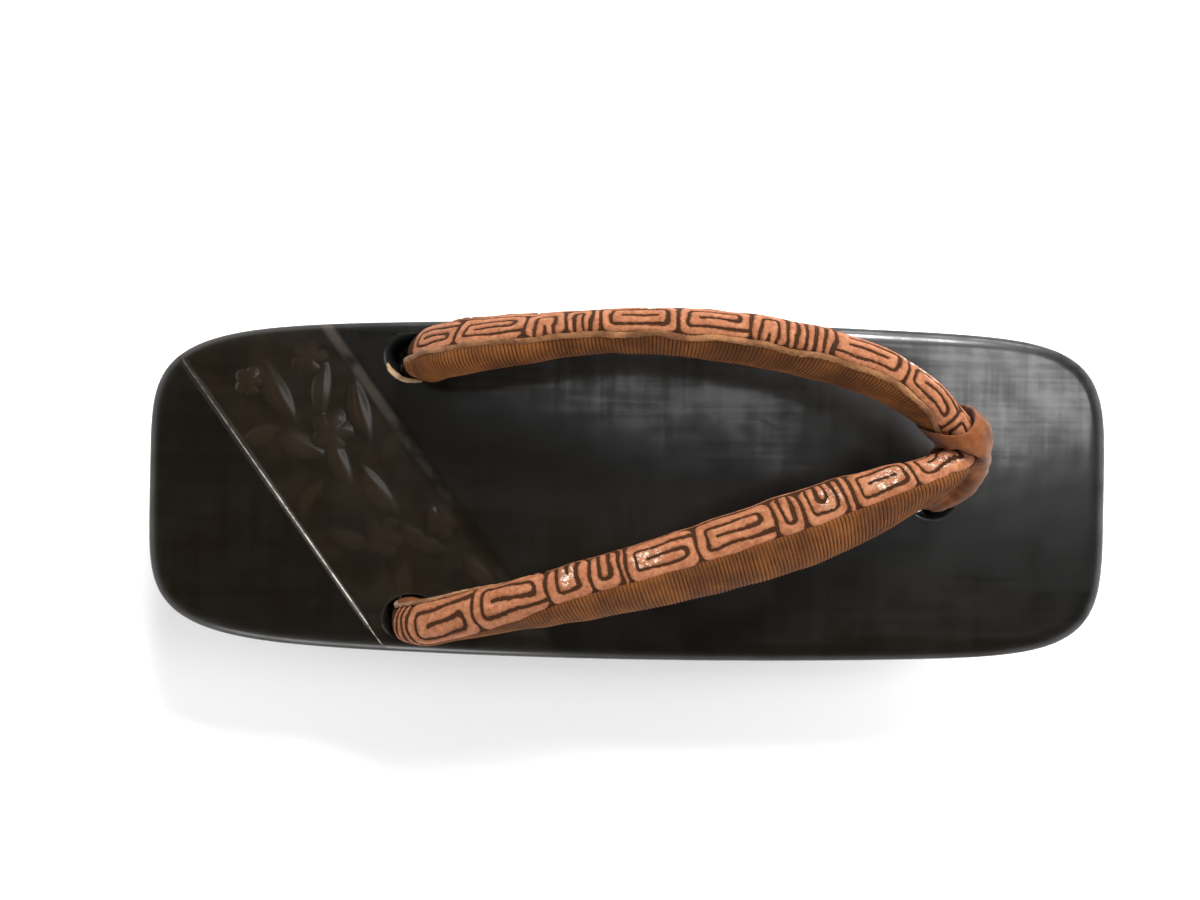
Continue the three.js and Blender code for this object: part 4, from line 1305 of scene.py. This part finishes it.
class GETA_OT_strap(bpy.types.Operator):
    """Make the stuffed strap with its copper print"""

    bl_idname = "geta.strap"
    bl_label = "Printed Strap"

    def execute(self, context):
        settings = context.scene.geta_strap
        cloth = strap_mesh(settings)
        strap = place_piece(cloth, print_material(settings), "strap")
        return {"FINISHED"}


class GETA_OT_lining(bpy.types.Operator):
    """Lay the ribbed lining and its napped piping on the strap"""

    bl_idname = "geta.lining"
    bl_label = "Ribbed Lining"

    def execute(self, context):
        settings = context.scene.geta_strap
        place_piece(lining_mesh(settings), lining_material(settings))
        nap = fuzzy_material("napped_piping", settings.piping, settings.piping_dark, 0.12, 3600.0, 0.9)
        place_piece(piping_mesh(settings), nap)
        return {"FINISHED"}


class GETA_OT_toe_loop(bpy.types.Operator):
    """Wrap the velvet toe loop round the strap's fold"""

    bl_idname = "geta.toe_loop"
    bl_label = "Toe Loop"

    def execute(self, context):
        settings = context.scene.geta_loop
        mesh = joined("velvet_loop", [wrap_mesh(settings), stem_mesh()])
        velvet = fuzzy_material("brown_velvet", settings.velvet, settings.velvet_dark, 0.15, 4200.0, 0.5)
        place_piece(mesh, velvet, "toe_loop")
        return {"FINISHED"}


class GETA_OT_knots(bpy.types.Operator):
    """Tie the knots that hold the tails under the board"""

    bl_idname = "geta.knots"
    bl_label = "Knots"

    def execute(self, context):
        settings = context.scene.geta_loop
        hemp = fuzzy_material("hemp_cord", settings.cord, settings.cord_dark, 0.15, 2400.0, 0.8)
        for name, (x, y, height) in KNOTS.items():
            place_piece(knot_mesh(f"knot_{name}", x, y, height, settings), hemp)
        return {"FINISHED"}


def softbox(name, place, target, width, depth, power):
    """A rectangular light at a place in millimetres, facing a target."""
    light = bpy.data.lights.new(name, "AREA")
    light.shape = "RECTANGLE"
    light.size, light.size_y, light.energy = width * MM, depth * MM, power
    lamp = linked(name, light)
    lamp.location = Vector(place) * MM
    towards = Vector(target) * MM - lamp.location
    lamp.rotation_euler = towards.to_track_quat("-Z", "Y").to_euler()


class GETA_OT_stage(bpy.types.Operator):
    """Set out the pale floor, the soft lights and the camera straight above"""

    bl_idname = "geta.stage"
    bl_label = "Stage"

    def execute(self, context):
        settings = context.scene.geta_stage
        scene = context.scene
        corners = [(x * FLOOR_REACH, y * FLOOR_REACH, 0) for x, y in ((-1, -1), (1, -1), (1, 1), (-1, 1))]
        mesh = new_mesh("floor", corners, [(0, 1, 2, 3)])
        linked("floor", mesh)
        paper, _, principled, _ = new_material("pale_floor", {"Roughness": 0.9, "Specular IOR Level": 0.1})
        principled.inputs["Base Color"].default_value = settings.floor
        mesh.materials.append(paper)
        camera = linked("camera", bpy.data.cameras.new("camera"))
        camera.data.lens, camera.data.sensor_width = settings.lens, 36.0
        camera.location = (settings.eye_x, settings.eye_y, DECK + settings.eye_height)
        camera.rotation_euler = (0.0, 0.0, settings.turn)
        scene.camera = camera
        world = bpy.data.worlds.new("soft_room")
        world.use_nodes = True
        nodes = Nodes(world.node_tree)
        direction = nodes.add("ShaderNodeTexCoord").outputs["Generated"]
        parts = nodes.add("ShaderNodeSeparateXYZ", Vector=direction).outputs
        ring = nodes.ramp(parts["Z"], RING["full"], RING["faded"], 1.0, RING["left"])
        lean = nodes.times(parts["Y"], 0.15, 1.0)
        background = world.node_tree.nodes["Background"]
        background.inputs["Color"].default_value = settings.world
        strength = nodes.times(nodes.times(ring, lean), settings.world_strength)
        world.node_tree.links.new(strength, background.inputs["Strength"])
        scene.world = world
        scene.view_settings.view_transform = "Standard"
        for light in LIGHTS:
            softbox(*light)
        return {"FINISHED"}


class GETA_PT_panel(bpy.types.Panel):
    """Lists the sandal's settings and its steps in order"""

    bl_idname = "GETA_PT_panel"
    bl_label = "Geta Sandal"
    bl_space_type = "VIEW_3D"
    bl_region_type = "UI"
    bl_category = "Geta"

    def draw(self, context):
        for group, _ in SETTINGS:
            box = self.layout.box()
            held = getattr(context.scene, group)
            for name in held.bl_rna.properties.keys():
                if name not in {"rna_type", "name"}:
                    box.prop(held, name)
        for operator in STEPS:
            self.layout.operator(operator.bl_idname)


SETTINGS = (
    ("geta_sole", SoleSettings),
    ("geta_strap", StrapSettings),
    ("geta_loop", LoopSettings),
    ("geta_stage", StageSettings),
)
STEPS = (GETA_OT_sole, GETA_OT_strap, GETA_OT_lining, GETA_OT_toe_loop, GETA_OT_knots, GETA_OT_stage)


def register():
    """Registers the settings, the steps and the panel."""
    for group, kind in SETTINGS:
        bpy.utils.register_class(kind)
        setattr(bpy.types.Scene, group, bpy.props.PointerProperty(type=kind))
    for kind in (*STEPS, GETA_PT_panel):
        bpy.utils.register_class(kind)


def unregister():
    """Takes back everything that register added."""
    for kind in (GETA_PT_panel, *reversed(STEPS)):
        bpy.utils.unregister_class(kind)
    for group, kind in reversed(SETTINGS):
        delattr(bpy.types.Scene, group)
        bpy.utils.unregister_class(kind)


def main():
    """Runs every step in order."""
    register()
    bpy.ops.geta.sole()
    bpy.ops.geta.strap()
    bpy.ops.geta.lining()
    bpy.ops.geta.toe_loop()
    bpy.ops.geta.knots()
    bpy.ops.geta.stage()


if __name__ == "__main__":
    main()
